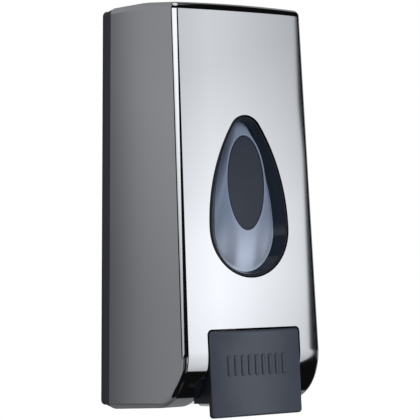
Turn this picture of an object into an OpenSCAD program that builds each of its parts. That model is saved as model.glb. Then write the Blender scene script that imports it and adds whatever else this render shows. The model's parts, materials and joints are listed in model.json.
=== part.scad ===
// Wall-mounted lever soap dispenser.
// The wall is the plane y = 0, the dispenser stands out towards -Y, and +Z is up.
// The origin is the centre of the wall screw pattern. Lengths are in millimetres, angles in degrees.
// A distance from the wall is called d, so a point at distance d lies at y = -d.

/* [Cover] */
// Height of the cover and the back plate
body_h = 210; // [200:1:230]
// Width of the front face at the top
front_w_top = 82.7; // [80:0.1:92]
// Width of the front face at the bottom
front_w_bottom = 89.4; // [86:0.1:98]
// Width of the cover's rear edge at the top
rear_w_top = 88.8; // [86:0.1:98]
// Width of the cover's rear edge at the bottom
rear_w_bottom = 91; // [89:0.1:102]
// Distance from the wall to the front face's side edges at mid height
front_d = 69.5; // [67:0.5:80]
// Lean of the front face, which stands further out at the bottom
lean = 4.3; // [3:0.1:6]
// How far the middle of the front face bulges past its side edges
bulge = 1.5; // [0.5:0.1:3]
// Wall thickness of the cover
cover_t = 2.2; // [1.8:0.1:3]
// Radius of the upright front edges
edge_r = 3.2; // [2:0.1:5]
// Radius of the top front edge
top_r = 4.5; // [3:0.1:7]
// Radius of the lower front curve
bottom_r = 27; // [18:0.5:28]
// Rise of the underside towards the front
bottom_rise = 5; // [2:0.5:6]
// Height of the crest of the top above its rear edge
crown = 1.5; // [0.5:0.1:3]
// Height of the arch of the top from side to side
arch = 0.8; // [0.5:0.1:3]
// Radius of the corners where the top meets the sides
corner_r = 3.5; // [2:0.5:8]

/* [Back plate] */
// Depth of the back plate
plate_d = 9; // [7:0.5:10]
// Thickness of the plate's floor, on the wall
plate_t = 2.5; // [2:0.1:4]
// Thickness of the plate's rim
rim_t = 2.2; // [1.6:0.1:3]
// How much smaller the plate is at the wall, on each side
plate_draft = 1.2; // [0.5:0.1:2]
// Radius of the plate's corners
plate_r = 4; // [2:0.5:8]
// Gap at the parting line between plate and cover
parting = 0.3; // [0.2:0.1:0.8]
// Radius of the wall screw holes
screw_hole_r = 2.25; // [1.5:0.05:3]
// Spacing of the wall screw holes across
screw_dx = 56; // [44:1:60]
// Spacing of the wall screw holes up and down
screw_dz = 150; // [120:1:160]

/* [Cover hinge and lock] */
// Outer radius of the cover's lower rear edge, round the hinge line
hinge_r = 3.2; // [2.8:0.1:4]
// Radius of the hinge pins
hinge_pin_r = 1; // [0.8:0.05:1.2]
// Distance of each hinge lug from the middle
lug_x = 30; // [28:0.5:32]
// Width of a hinge lug on the plate
lug_w = 5; // [4:0.5:6]
// Width of a hinge knuckle on the cover
knuckle_w = 6; // [4:0.5:7]
// Width of the lock bolt's tongue
bolt_w = 12; // [8:0.5:16]
// Thickness of the lock bolt's tongue
bolt_t = 3; // [2:0.1:4]
// Travel of the lock bolt into the cover's top
bolt_travel = 3.5; // [2.5:0.1:4]

/* [Window] */
// Radius of the round lower end of the teardrop
drop_r = 25.6; // [22:0.1:27]
// Height of that round end's centre
drop_z = -10; // [-14:0.5:-6]
// Height of the teardrop from end to end
drop_h = 84; // [76:0.1:90]
// Radius of the teardrop's long side curves
drop_side_r = 95; // [90:1:110]
// Width of the teardrop's rim, seen from the front
drop_rim = 1.5; // [1.2:0.1:2.5]
// Width of the slope from the rim down to the dish floor, at the sides
dish_slope = 5; // [3:0.1:5.5]
// Width of that slope at the teardrop's upper and lower ends
dish_end = 1.6; // [1:0.1:3]
// Depth of the dish floor below its rim
dish_depth = 4.5; // [3:0.1:5]
// Thickness of the dish floor and its flange
dish_t = 1.8; // [1.4:0.1:2.5]
// Width of the flange behind the cover
flange_w = 6; // [5.5:0.1:7]
// Width of the oval sight glass
oval_w = 23.6; // [18:0.1:25]
// Height of the oval sight glass
oval_h = 49; // [40:0.5:50]
// Height of the oval's centre
oval_z = 13.5; // [11:0.5:15]
// How far the dish floor rises from its edge to the oval
floor_rise = 3.4; // [1:0.1:4]
// Radius of the posts that hold the dish
post_r = 1.5; // [1.2:0.1:1.6]

/* [Push lever] */
// Width of the lever's face
lever_w = 58; // [50:0.5:60]
// Height of the lever's face
lever_h = 44; // [41:0.5:46]
// How far the lever's lower edge hangs below the back plate
lever_low = 1; // [0:0.5:2]
// Thickness of the lever's plate
lever_t = 3; // [2.5:0.1:3.5]
// How far the lever's face stands past the front face's side edges
lever_proud = 1.6; // [1:0.1:2.5]
// Radius of the corners of the lever's face
lever_r = 2; // [1.5:0.5:5]
// Gap between the lever and the edges of its slot
slot_gap = 0.8; // [0.6:0.1:1.5]
// Depth of the skirts along the lever's sides
skirt_d = 13; // [9:0.5:14]
// Height of the skirts' lower edge above the lever's lower edge
skirt_up = 7.5; // [6:0.5:10]
// Thickness of the skirts and of the pivot arms
skirt_t = 2.4; // [1.8:0.1:3]
// Height of the pivot above the lever's top edge
pivot_up = 6; // [5:0.5:8]
// Distance of the pivot behind the front face
pivot_in = 8; // [7.5:0.5:10]
// Radius of the lever's pivot pin
lever_pin_r = 1.5; // [1.2:0.05:2]
// Swing of the lever when it is pushed
lever_swing = 15; // [10:0.5:16]

/* [Pump] */
// Height of the pump's axis above the back plate's lower edge
pump_up = 19; // [18:0.5:20]
// Radius of the pump's bore
bore_r = 7; // [6:0.1:7.5]
// Wall thickness of the pump
pump_t = 2.2; // [1.8:0.1:2.6]
// Length of the piston
piston_l = 6; // [5:0.5:7]
// Radius of the plunger's rod
rod_r = 3.5; // [3:0.1:4]
// Radius of the plunger's head
head_r = 8; // [6.5:0.5:9]
// Length of the return spring at rest
spring_l = 12.7; // [12:0.1:15]
// Radius of the spring's coil, to the middle of its wire
spring_r = 5.8; // [5:0.1:6]
// Thickness of the spring's wire
wire_t = 1; // [0.8:0.1:1.2]
// Number of turns of the spring
spring_turns = 3.5; // [2.5:0.5:4]
// Radius of the inlet and outlet ports
port_r = 2; // [1.5:0.1:2.2]
// Radius of the inlet valve ball
ball_r = 2.6; // [2.4:0.1:2.8]
// Lift of the inlet valve ball
ball_lift = 1.6; // [1:0.1:2]

/* [Soap tank] */
// Width of the tank
tank_w = 76; // [70:1:77]
// Free height over the tank, for its lid and the lock
tank_headroom = 25; // [24:0.5:30]
// Height of the tank's underside above the back plate's lower edge
tank_up = 49; // [48:0.5:51]
// Wall thickness of the tank
tank_t = 2; // [1.5:0.1:3]
// Radius of the tank's upright edges
tank_r = 7; // [4:0.5:10]
// Width of the filling mouth
mouth_w = 60; // [46:1:62]
// Depth of the filling mouth, front to back
mouth_d = 26; // [20:0.5:28]
// Radius of the outlet spigot under the tank
spigot_r = 10; // [9:0.5:10.5]

/* [Clearances] */
// Radial clearance of pins and sliding fits
run = 0.05; // [0.02:0.01:0.1]
// Clearance between pieces that are only placed together
gap = 0.3; // [0.2:0.05:0.4]

/* [Hidden] */
$fn = 64;
// Overlap that lets a cut pass a face
bite = 1;
// Depth that a joined piece sinks into the piece it stands on
sink = 0.02;
// Points along a rounded corner and along a long arc
corner_n = 6;
arc_n = 10;

half_h = body_h / 2;
rear_d = plate_d + parting;
tank_top = half_h - tank_headroom;

// Room beside the tank, and how far a wide tank pushes out the sides of the cover and the plate
tank_side = 1.2;
widen = max(0, tank_w / 2 + tank_side + cover_t - half_width(front_w_top, front_w_bottom, tank_top));

// Cover profile: the top's crest, its fall to the front and the plate's top edge
crest_d = 36;
crest_r = 60;
top_fall = 3.3;
top_rise = 0.6;
rear_top_z = half_h + top_rise;
reach = half_h + 20;
side_margin = 0.25;
least_r = 0.6;

// Hinge line, on the centre of the cover's rounded lower rear edge
knuckle_in = 0.2;
lug_in = 0.8;
pin_show = 0.6;
hinge_d = rear_d + hinge_r;
hinge_z = -half_h + hinge_r / cos(bottom_rise);
knuckle_r = hinge_r - knuckle_in;
lug_r = hinge_r - lug_in;
hinge_pin_l = lug_w + gap + knuckle_w + 2 * pin_show;

// Lock bolt in its guide on the plate
bolt_in = 3;
bolt_gap = 0.8;
guide_h = 6;
guide_wall = 3;
shoulder_out = 2;
shoulder_t = 2.2;
tab_h = 3.5;
tab_out = 2;
bolt_d = rear_d + bolt_in;
bolt_top = rear_top_z - cover_t - bolt_gap;
guide_top = bolt_top - bolt_travel - shoulder_t - gap + bolt_gap / 2;
shoulder_w = bolt_w + 2 * shoulder_out;

// Window
rim_drop = 0.675;
gasket_t = 0.8;
oval_lip = 2;
oval_lip_t = 1;
oval_rim = 0.8;
post_out = 3.4;
post_low = -35;
post_high = 30;
post_l = 3;
clip_r = 3.6;
clip_t = 0.8;
drop_top_z = drop_z - drop_r + drop_h;
drop_side_x = drop_side_r - drop_r;
drop_rise = drop_top_z - drop_z;
drop_top_r = (pow(drop_side_r, 2) - pow(drop_side_x, 2) - pow(drop_rise, 2)) /
             (2 * (drop_side_r - drop_rise));
drop_tip_z = drop_top_z - drop_top_r;
rim_y = rim_drop - bulge;
floor_y = rim_y + dish_depth;
flange_share = (drop_r + flange_w) / (front_half(drop_z) - cover_t);
face_back = cover_t - bulge * (1 - pow(flange_share, 2));
flange_y = face_back + gap / 3 + gasket_t;
flange_back = flange_y + dish_t;
dish_back = max(floor_y + dish_t, flange_back);
oval_y = floor_y - floor_rise;
slope_in = drop_rim + gap + dish_end;
floor_share = (drop_r - drop_rim - gap - dish_slope) / (drop_r - slope_in);
post_root = (cover_t - bulge) / 2;
post_end = flange_back + post_l;
post_top_z = drop_z + (drop_side_r + post_out) * sin(post_high);

// Lever, pivot and slot
slot_back = 9.5;
eye_wall = 2;
arm_w = 4;
arm_l = 8;
lug_t = 3;
pin_clip_w = 1.8;
pin_clip_t = 0.7;
pin_end = 1;
nub_r = 2;
nub_w = 14;
nub_sink = 0.8;
lever_bottom = -half_h - lever_low;
lever_top = lever_bottom + lever_h;
slot_w = lever_w + 2 * slot_gap;
slot_top = lever_top + slot_gap;
slot_rear_d = hinge_d + slot_back;
curve_top_z = -half_h + bottom_r + tan(bottom_rise) * front_d;
slot_r = lever_r + slot_gap;
lever_back = lever_t - lever_proud;
pivot_z = lever_top + pivot_up;
pivot_d = front_at(pivot_z) - pivot_in;
eye_r = lever_pin_r + eye_wall;
arm_x = lever_w / 2 - skirt_t - arm_w / 2;
lug_in_x = arm_x + arm_w / 2 + gap;
clip_x = lug_in_x + lug_t + gap;
pin_clip_r = lever_pin_r + pin_clip_w;
lever_pin_l = 2 * (clip_x + pin_clip_t + pin_end);
pump_z = -half_h + pump_up;
nub_d = front_at(pump_z) - lever_back / cos(lean) - nub_r + nub_sink;

// Plunger stroke that the lever's nub gives
nub_down = pivot_z - pump_z;
nub_out = nub_d - pivot_d;
stroke = nub_down * sin(lever_swing) + nub_out * (1 - cos(lever_swing));

// Pump, worked back from the nub on the lever towards the wall
touch = 0.15;
head_t = 2.5;
gland_t = 2.3;
gland_l = 6;
gland_wall = 1.6;
piston_stop = 1;
piston_gap = 0.4;
seal_w = 2;
seal_depth = 1.4;
port_margin = 0.8;
head_front = nub_d - nub_r - touch;
head_rear = head_front - head_t;
gland_front = head_rear - spring_l;
gland_inner = gland_front - gland_t;
pump_r = bore_r + pump_t;
pump_front = gland_inner - gap;
piston_front = gland_inner - piston_stop;
piston_rear = piston_front - piston_l;
piston_r = bore_r - piston_gap;
port_d = piston_rear - stroke - port_r - port_margin;
chamber_rear = port_d - port_r - port_margin;
pump_rear = chamber_rear - pump_t;

// Inlet valve above the pump, hung from the tank's spigot
cage_gap = 1;
cage_floor = 2;
bypass_w = 1.2;
bypass_depth = 3;
seat_t = 2;
seat_ledge = 1.5;
seat_bore_r = 1.8;
riser_t = 1.8;
flange_t = 2.2;
washer_t = 1.1;
washer_in = 1;
nut_wall = 2.8;
nut_lip = 2.6;
nut_drop = 3;
nut_ribs = 12;
nut_rib_w = 2;
nut_rib_out = 0.9;
cage_r = ball_r + cage_gap;
cage_bottom = pump_z + bore_r + cage_floor;
ball_seat_z = sqrt(pow(ball_r, 2) - pow(port_r, 2));
ball_z = cage_bottom + ball_seat_z + gap;
cage_top = ball_z + ball_r + ball_lift + gap * 1.5;
seat_r = cage_r + seat_ledge;
riser_r = seat_r + riser_t;
riser_top = cage_top + seat_t + gap / 2;
washer_top = riser_top + gap / 3 + washer_t;
spigot_bottom = washer_top + gap / 3;

// Outlet under the pump
stub_t = 1.4;
stub_l = 3.6;
valve_t = 1;
nozzle_t = 1.5;
nozzle_l = 5;
nozzle_grip = 3;
tip_gap = 0.4;
bill_w = 1.3;
bill_l = 3.4;
bill_slit = 0.3;
stub_r = port_r + stub_t;
stub_bottom = pump_z - pump_r - stub_l;
nozzle_r = stub_r + gap + nozzle_t;
nozzle_tip_r = port_r + tip_gap;
nozzle_bottom = stub_bottom - nozzle_l;

// Tank, its seat on the plate and its filling mouth
tank_off = 2.4;
tank_air = 3;
window_air = 1;
mouth_out = 4;
spigot_bore = 4;
shelf_t = 2.2;
shelf_w = 13;
shelf_d = 20;
shelf_in = 1;
peg_r = 2.5;
peg_l = 5;
peg_in = 9;
hook_w = 8;
hook_x = 22;
hook_t = 2.2;
hook_reach = 4;
rail_t = 2;
rail_h = 100;
rail_d = 11;
tank_bottom = tank_up - half_h;
nut_top = tank_bottom - nut_drop;
tank_rear = plate_t + tank_off;
tank_front = min(front_at(tank_top) - cover_t - tank_air, front_at(post_top_z) - post_end - window_air);
tank_mid_d = (tank_rear + tank_front) / 2;
mouth_mid_d = tank_mid_d + mouth_out;
shelf_x = tank_w / 2 - shelf_w / 2 - shelf_in;
peg_x = shelf_x + shelf_w / 4;
peg_d = tank_rear + peg_in;

// Tank lid
lid_edge = 3;
lid_t = 2.5;
lid_gasket_t = 0.8;
lid_gasket_in = 0.5;
plug_l = 6.5;
plug_gap = 0.6;
plug_t = 2;
grip_w = 26;
grip_t = 3;
grip_h = 2.5;

// Distance of the front face's side edges from the wall at height z
function front_at(z) = front_d - tan(lean) * z;

function unit(v) = v / norm(v);

// Points of the arc of radius r that rounds the corner p between a and b
function fillet(a, p, b, r, n) =
    r <= 0 ? [p] :
    let (
        u = unit(a - p),
        v = unit(b - p),
        half = acos(u * v) / 2,
        c = p + unit(u + v) * r / sin(half),
        s = p + u * r / tan(half) - c,
        e = p + v * r / tan(half) - c,
        w = 180 - 2 * half
    )
    [for (i = [0 : n]) c + (sin((1 - i / n) * w) * s + sin(i / n * w) * e) / sin(w)];

// Outline through the corners, each rounded by its own radius
function rounded(corners, radii, n = corner_n) =
    let (m = len(corners))
    [
        for (i = [0 : m - 1])
            each fillet(corners[(i + m - 1) % m], corners[i], corners[(i + 1) % m], radii[i], n)
    ];

function arc(c, r, a0, a1, n) =
    [for (i = [0 : n]) let (a = a0 + (a1 - a0) * i / n) c + r * [cos(a), sin(a)]];

function rectangle(w, h, r) =
    rounded([[w / 2, -h / 2], [w / 2, h / 2], [-w / 2, h / 2], [-w / 2, -h / 2]], [r, r, r, r]);

function ellipse(w, h, n = 48) =
    [for (i = [0 : n - 1]) [w / 2 * cos(360 * i / n), h / 2 * sin(360 * i / n)]];

// Point of the oval's rim that lies towards the point p
function oval_towards(p) =
    let (a = atan2((p[1] - oval_z) / oval_h, p[0] / oval_w))
    [(oval_w / 2 + oval_rim) * cos(a), oval_z + (oval_h / 2 + oval_rim) * sin(a)];

// Teardrop drawn in by the distance i, or grown by a negative one
function teardrop(i) =
    let (turn = atan2(drop_tip_z - drop_z, drop_side_x))
    concat(
        arc([0, drop_z], drop_r - i, 180, 360, 2 * arc_n),
        arc([-drop_side_x, drop_z], drop_side_r - i, turn / arc_n, turn, arc_n - 1),
        arc([0, drop_tip_z], drop_top_r - i, turn, 180 - turn, arc_n),
        arc([drop_side_x, drop_z], drop_side_r - i, 180 - turn, 180 - turn / arc_n, arc_n - 1)
    );

// Side view of the cover's skin, drawn in by the distance i: y and z
function side_profile(i) =
    let (
        t = tan(lean),
        s = tan(bottom_rise),
        f = tan(top_fall),
        front0 = front_d + bulge - i / cos(lean),
        low0 = -half_h + i / cos(bottom_rise),
        low_d = (front0 - t * (low0 - s * hinge_d)) / (1 + t * s),
        low_z = low0 + s * (low_d - hinge_d),
        crest_z = rear_top_z + crown - i,
        high_d = (front0 - t * (crest_z + f * crest_d)) / (1 - t * f),
        high_z = crest_z - f * (high_d - crest_d),
        rear = i > 0 ? rear_d - bite : rear_d,
        rear_low_z = low0 + s * (rear - hinge_d)
    )
    rounded(
        [[-rear, rear_low_z], [-low_d, low_z], [-high_d, high_z],
         [-crest_d, crest_z], [-rear, rear_top_z - i]],
        [i > 0 ? 0 : hinge_r, bottom_r - i, max(top_r - i, least_r), crest_r, 0],
        arc_n
    );

// Half widths of the skin at height z, at its rear edge and at its front face
function rear_half(z) = half_width(rear_w_top, rear_w_bottom, z) + widen;
function front_half(z) = half_width(front_w_top, front_w_bottom, z) + widen;
function half_width(top, bottom, z) = (top + bottom) / 4 + (top - bottom) / 4 * z / half_h;

// Points across the crowned front from +w to -w, without its two ends
function crowned(w, rise) =
    [for (k = [1 : arc_n - 1]) let (x = w * (1 - 2 * k / arc_n)) [x, rise * (1 - pow(x / w, 2))]];

// Plan of the skin at height z: x, and the depth behind the front face's side edges
function plan(z, i) =
    let (
        w = front_half(z) - i,
        side = (rear_half(z) - front_half(z)) / (front_at(z) - rear_d),
        back = front_at(z) + bite,
        r = max(edge_r - i, least_r)
    )
    rounded(
        concat(
            [[-w - side * back, back], [w + side * back, back]],
            [[w, i]], [for (p = crowned(w, bulge)) [p[0], i - p[1]]], [[-w, i]]
        ),
        concat([0, 0, r], [for (k = [1 : arc_n - 1]) 0], [r])
    );

// Front view of the skin, with half widths w_top and w_bottom: x and z
function front_view(w_top, w_bottom, i) =
    let (
        w = w_top + side_margin - i,
        v = w_bottom + side_margin - i,
        top = rear_top_z + crown - i - arch,
        low = -half_h - bite,
        r = max(corner_r - i, least_r)
    )
    rounded(
        concat([[v, low], [w, top]],
               [for (p = crowned(w, arch)) [p[0], top + p[1]]],
               [[-w, top], [-v, low]]),
        concat([0, r], [for (k = [1 : arc_n - 1]) 0], [r, 0])
    );

// Outline of the back plate, drawn in by the distance i
function plate_outline(i) =
    rounded(
        [[rear_half(-half_h) - i, -half_h + i], [rear_half(half_h) - i, rear_top_z - i],
         [i - rear_half(half_h), rear_top_z - i], [i - rear_half(-half_h), -half_h + i]],
        [for (k = [1 : 4]) max(plate_r - i, least_r)]
    );

// Local frame of the front face: x across, z up along the face, -y straight out of it
module on_front() {
    translate([0, -front_d, 0]) rotate([-lean, 0, 0]) children();
}

// Flat shape in x and z made into a solid from distance d0 to distance d1
module plate_at(d0, d1) {
    translate([0, -d0, 0]) rotate([90, 0, 0]) linear_extrude(d1 - d0) children();
}

// The same on the front face, from depth y0 to depth y1 behind it
module panel_at(y0, y1) {
    on_front() translate([0, y1, 0]) rotate([90, 0, 0]) linear_extrude(y1 - y0) children();
}

// Flat shape in y and z made into a solid from x0 to x1
module side_at(x0, x1) {
    translate([x0, 0, 0]) rotate([90, 0, 90]) linear_extrude(x1 - x0) children();
}

// Round rods along Y, along X and along Z
module rod_y(r, d0, d1, z) {
    translate([0, -d0, z]) rotate([90, 0, 0]) cylinder(r = r, h = d1 - d0);
}

module rod_x(r, x0, x1, d, z) {
    translate([x0, -d, z]) rotate([0, 90, 0]) cylinder(r = r, h = x1 - x0);
}

module rod_z(r, z0, z1, d) {
    translate([0, -d, z0]) cylinder(r = r, h = z1 - z0);
}

// Block between two distances from the wall and two heights, centred across
module block(w, d0, d1, z0, z1) {
    translate([-w / 2, -d1, z0]) cube([w, d1 - d0, z1 - z0]);
}

// A shape on the left and the same on the right
module both_sides() {
    children();
    mirror([1, 0, 0]) children();
}

// Solid between the outlines a and b, which have as many points; a runs counterclockwise seen from its end
module loft(a, b) {
    n = len(a);
    walls = [for (k = [0 : n - 1]) let (m = (k + 1) % n) each [[k, m, n + m], [k, n + m, n + k]]];
    ends = [for (k = [1 : n - 2]) each [[0, k + 1, k], [n, n + k, n + k + 1]]];
    polyhedron(concat(a, b), concat(walls, ends));
}

// Solid inside the cover's skin drawn in by the distance i
module skin(i) {
    front = front_at(-reach);
    intersection() {
        side_at(-rear_w_bottom, rear_w_bottom) polygon(side_profile(i));
        on_front() loft(
            [for (p = plan(-reach, i)) [p[0], p[1], -reach]],
            [for (p = plan(reach, i)) [p[0], p[1], reach]]
        );
        loft(
            [for (p = front_view(front_half(half_h), front_half(-half_h), i)) [p[0], -front, p[1]]],
            [for (p = front_view(rear_half(half_h), rear_half(-half_h), i)) [p[0], 0, p[1]]]
        );
    }
}

// Places of the four posts round the window: x and z on the front face
function post_places() =
    let (low_r = drop_r + post_out, high_r = drop_side_r + post_out)
    [
        for (s = [-1, 1]) each [
            [s * low_r * cos(post_low), drop_z + low_r * sin(post_low)],
            [s * (high_r * cos(post_high) - drop_side_x), post_top_z]
        ]
    ];

module at_posts() {
    for (p = post_places()) translate(p) children();
}

module back_plate() {
    color("#303138") {
        difference() {
            union() {
                plate_at(0, plate_t) polygon(plate_outline(plate_draft));
                difference() {
                    loft(
                        [for (p = plate_outline(0)) [p[0], -plate_d, p[1]]],
                        [for (p = plate_outline(plate_draft)) [p[0], sink - plate_t, p[1]]]
                    );
                    plate_at(0, plate_d + bite) polygon(plate_outline(plate_draft + rim_t));
                }
                both_sides() hinge_lug();
                both_sides() tank_shelf();
                both_sides() tank_hook();
                both_sides() tank_rail();
                bolt_guide();
            }
            for (x = [-1, 1], z = [-1, 1])
                translate([x * screw_dx / 2, 0, z * screw_dz / 2])
                    rod_y(screw_hole_r, -bite, plate_t + bite, 0);
        }
    }
}

module hinge_lug() {
    difference() {
        union() {
            translate([lug_x, 0, 0])
                block(lug_w, plate_t - sink, hinge_d, hinge_z - lug_r, hinge_z + lug_r);
            rod_x(lug_r, lug_x - lug_w / 2, lug_x + lug_w / 2, hinge_d, hinge_z);
        }
        rod_x(hinge_pin_r + run, lug_x - lug_w, lug_x + lug_w, hinge_d, hinge_z);
    }
}

module tank_shelf() {
    top = tank_bottom;
    difference() {
        union() {
            translate([shelf_x, 0, 0]) block(shelf_w, plate_t - sink, shelf_d, top - shelf_t, top);
            side_at(shelf_x - shelf_t / 2, shelf_x + shelf_t / 2)
                polygon([[sink - plate_t, top - shelf_t / 2], [-shelf_d, top - shelf_t / 2],
                         [sink - plate_t, top - shelf_d]]);
        }
        translate([peg_x, 0, 0]) rod_z(peg_r + gap, top - shelf_d, top + bite, peg_d);
    }
}

module tank_hook() {
    z = tank_top + gap;
    translate([hook_x, 0, 0]) block(hook_w, plate_t - sink, tank_rear + hook_reach, z, z + hook_t);
}

module tank_rail() {
    x = tank_w / 2 + gap;
    translate([x + rail_t / 2, 0, 0]) block(rail_t, plate_t - sink, rail_d, -rail_h / 2, rail_h / 2);
}

module bolt_guide() {
    w = bolt_w + 2 * guide_wall;
    low = guide_top - guide_h;
    front = bolt_d + bolt_t + gap;
    difference() {
        block(w, plate_t - sink, front + guide_wall, low, guide_top);
        block(bolt_w + 2 * gap, bolt_d - gap, front, low - bite, guide_top + bite);
    }
}

module soap_tank() {
    depth = tank_front - tank_rear;
    low = tank_bottom + tank_t;
    color("#dfe6e6", 0.6) {
        difference() {
            union() {
                tank_block(tank_w, depth, tank_r, tank_bottom, tank_top);
                rod_z(spigot_r, spigot_bottom, tank_bottom + tank_t / 2, port_d);
                both_sides() translate([peg_x, 0, 0])
                    rod_z(peg_r, tank_bottom - peg_l, tank_bottom + tank_t / 2, peg_d);
            }
            tank_block(tank_w - 2 * tank_t, depth - 2 * tank_t, tank_r - tank_t, low, tank_top - tank_t);
            rod_z(spigot_bore, spigot_bottom - bite, low + bite, port_d);
            translate([0, -mouth_mid_d, tank_top - tank_t - bite])
                linear_extrude(tank_t + 2 * bite) polygon(rectangle(mouth_w, mouth_d, tank_r));
        }
    }
}

module tank_block(w, depth, r, z0, z1) {
    translate([0, -tank_mid_d, z0]) linear_extrude(z1 - z0) polygon(rectangle(w, depth, r));
}

module tank_lid() {
    base = tank_top + lid_gasket_t;
    low = tank_top - plug_l;
    plug_w = mouth_w - 2 * plug_gap;
    plug_d = mouth_d - 2 * plug_gap;
    plug_r = tank_r - plug_gap;
    color("#3a3c42") translate([0, -mouth_mid_d, 0]) {
        translate([0, 0, base]) linear_extrude(lid_t)
            polygon(rectangle(mouth_w + 2 * lid_edge, mouth_d + 2 * lid_edge, tank_r));
        difference() {
            translate([0, 0, low]) linear_extrude(base - low + lid_t / 2)
                polygon(rectangle(plug_w, plug_d, plug_r));
            translate([0, 0, low - bite]) linear_extrude(plug_l + bite)
                polygon(rectangle(plug_w - 2 * plug_t, plug_d - 2 * plug_t, plug_r - plug_t));
        }
        translate([-grip_w / 2, -grip_t / 2, base + lid_t - sink]) cube([grip_w, grip_t, grip_h]);
    }
}

module lid_gasket() {
    edge = lid_edge - lid_gasket_in;
    color("#1d1d1f") translate([0, -mouth_mid_d, tank_top]) linear_extrude(lid_gasket_t) difference() {
        polygon(rectangle(mouth_w + 2 * edge, mouth_d + 2 * edge, tank_r));
        polygon(rectangle(mouth_w, mouth_d, tank_r));
    }
}

module pump_body() {
    color("#e8e8e4") {
        difference() {
            union() {
                rod_y(pump_r, pump_rear, pump_front, pump_z);
                rod_z(riser_r, pump_z, riser_top, port_d);
                rod_z(spigot_r, riser_top - flange_t, riser_top, port_d);
                rod_z(stub_r, stub_bottom, pump_z, port_d);
            }
            rod_y(bore_r, chamber_rear, pump_front + bite, pump_z);
            rod_z(port_r, stub_bottom - bite, cage_bottom + bite, port_d);
            rod_z(cage_r, cage_bottom, riser_top + bite, port_d);
            rod_z(seat_r + gap / 2, cage_top, riser_top + bite, port_d);
            translate([-cage_r, -port_d - bypass_w / 2, cage_bottom - bypass_depth])
                cube([2 * cage_r, bypass_w, bypass_depth + bite]);
        }
    }
}

module pump_nut() {
    nut_r = spigot_r + gap + nut_wall;
    low = riser_top - flange_t - gap - nut_lip;
    color("#d8d8d2") translate([0, -port_d, 0]) difference() {
        union() {
            translate([0, 0, low]) cylinder(r = nut_r, h = nut_top - low);
            for (k = [0 : nut_ribs - 1])
                rotate(360 * k / nut_ribs) translate([nut_r - bite, -nut_rib_w / 2, low + bite])
                    cube([bite + nut_rib_out, nut_rib_w, nut_top - low - 2 * bite]);
        }
        translate([0, 0, low - bite]) cylinder(r = riser_r + gap, h = nut_lip + 2 * bite);
        translate([0, 0, low + nut_lip]) cylinder(r = spigot_r + gap, h = nut_top - low);
    }
}

module ring_z(r0, r1, z0, z1) {
    translate([0, -port_d, z0]) difference() {
        cylinder(r = r1, h = z1 - z0);
        translate([0, 0, -bite]) cylinder(r = r0, h = z1 - z0 + 2 * bite);
    }
}

module inlet_washer() {
    color("#222224") ring_z(spigot_bore, spigot_r - washer_in, washer_top - washer_t, washer_top);
}

module inlet_seat() {
    low = cage_top + gap / 4;
    color("#c9ccd0") ring_z(seat_bore_r, seat_r, low, low + seat_t);
}

module valve_ball() {
    color("#b9bec4") translate([0, -port_d, ball_z]) sphere(r = ball_r);
}

module plunger() {
    color("#f0f0ec") difference() {
        union() {
            rod_y(piston_r, piston_rear, piston_front, pump_z);
            rod_y(rod_r, piston_front - bite, head_rear + bite, pump_z);
            rod_y(head_r, head_rear, head_front, pump_z);
        }
        seal_ring(piston_r - seal_depth, piston_r + bite, seal_w);
    }
}

// Ring round the middle of the piston
module seal_ring(r0, r1, w) {
    mid = (piston_front + piston_rear) / 2;
    difference() {
        rod_y(r1, mid - w / 2, mid + w / 2, pump_z);
        rod_y(r0, mid - w, mid + w, pump_z);
    }
}

module piston_seal() {
    color("#1c1c1e") seal_ring(piston_r - seal_depth + gap / 3, bore_r - run, seal_w - gap / 2);
}

module gland_cap() {
    color("#d8d8d2") difference() {
        rod_y(pump_r + gap + gland_wall, gland_inner - gland_l, gland_front, pump_z);
        rod_y(pump_r + gap, gland_inner - gland_l - bite, gland_inner, pump_z);
        rod_y(rod_r + run, gland_inner - bite, gland_front + bite, pump_z);
    }
}

// Middle line of the spring: a helix with a straight run of one wire thickness at each end
spring_a = gland_front + gap + wire_t / 2;
spring_b = head_rear - gap - wire_t / 2;
rings = 8;
sides = 6;
function coil_point(k) =
    let (turn = 360 * k / rings, d = spring_a + (spring_b - spring_a) * k / (rings * spring_turns))
    [spring_r * cos(turn), -d, pump_z + spring_r * sin(turn)];
function coil_along(k) = unit(coil_point(k + 0.01) - coil_point(k - 0.01));
last_ring = rings * spring_turns;
spring_line = concat(
    [coil_point(0) - wire_t * coil_along(0)],
    [for (k = [0 : last_ring]) coil_point(k)],
    [coil_point(last_ring) + wire_t * coil_along(last_ring)]
);
spring_gap = min([
    for (i = [0 : len(spring_line) - 1], j = [i + rings - 1 : 1 : len(spring_line) - 1])
        norm(spring_line[i] - spring_line[j])
]) - wire_t;
echo(spring_gap = spring_gap);

module return_spring() {
    n = len(spring_line);
    along = [for (i = [0 : n - 1]) unit(spring_line[min(i + 1, n - 1)] - spring_line[max(i - 1, 0)])];
    points = [
        for (i = [0 : n - 1])
            let (side = unit(cross(along[i], [0, 1, 0])), up = cross(side, along[i]))
            for (s = [0 : sides - 1])
                let (a = 360 * s / sides)
                spring_line[i] + wire_t / 2 * (cos(a) * side + sin(a) * up)
    ];
    walls = [
        for (i = [0 : n - 2], s = [0 : sides - 1])
            let (a = i * sides + s, b = i * sides + (s + 1) % sides)
            each [[a, a + sides, b], [b, a + sides, b + sides]]
    ];
    ends = [
        for (s = [1 : sides - 2])
            each [[0, s, s + 1], [(n - 1) * sides, (n - 1) * sides + s + 1, (n - 1) * sides + s]]
    ];
    color("#b4b8bd") polyhedron(points, concat(walls, ends));
}

module nozzle() {
    color("#e8e8e4") difference() {
        rod_z(nozzle_r, nozzle_bottom, stub_bottom + nozzle_grip, port_d);
        rod_z(stub_r + gap, stub_bottom - valve_t - gap, stub_bottom + nozzle_grip + bite, port_d);
        rod_z(nozzle_tip_r, nozzle_bottom - bite, stub_bottom, port_d);
    }
}

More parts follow.
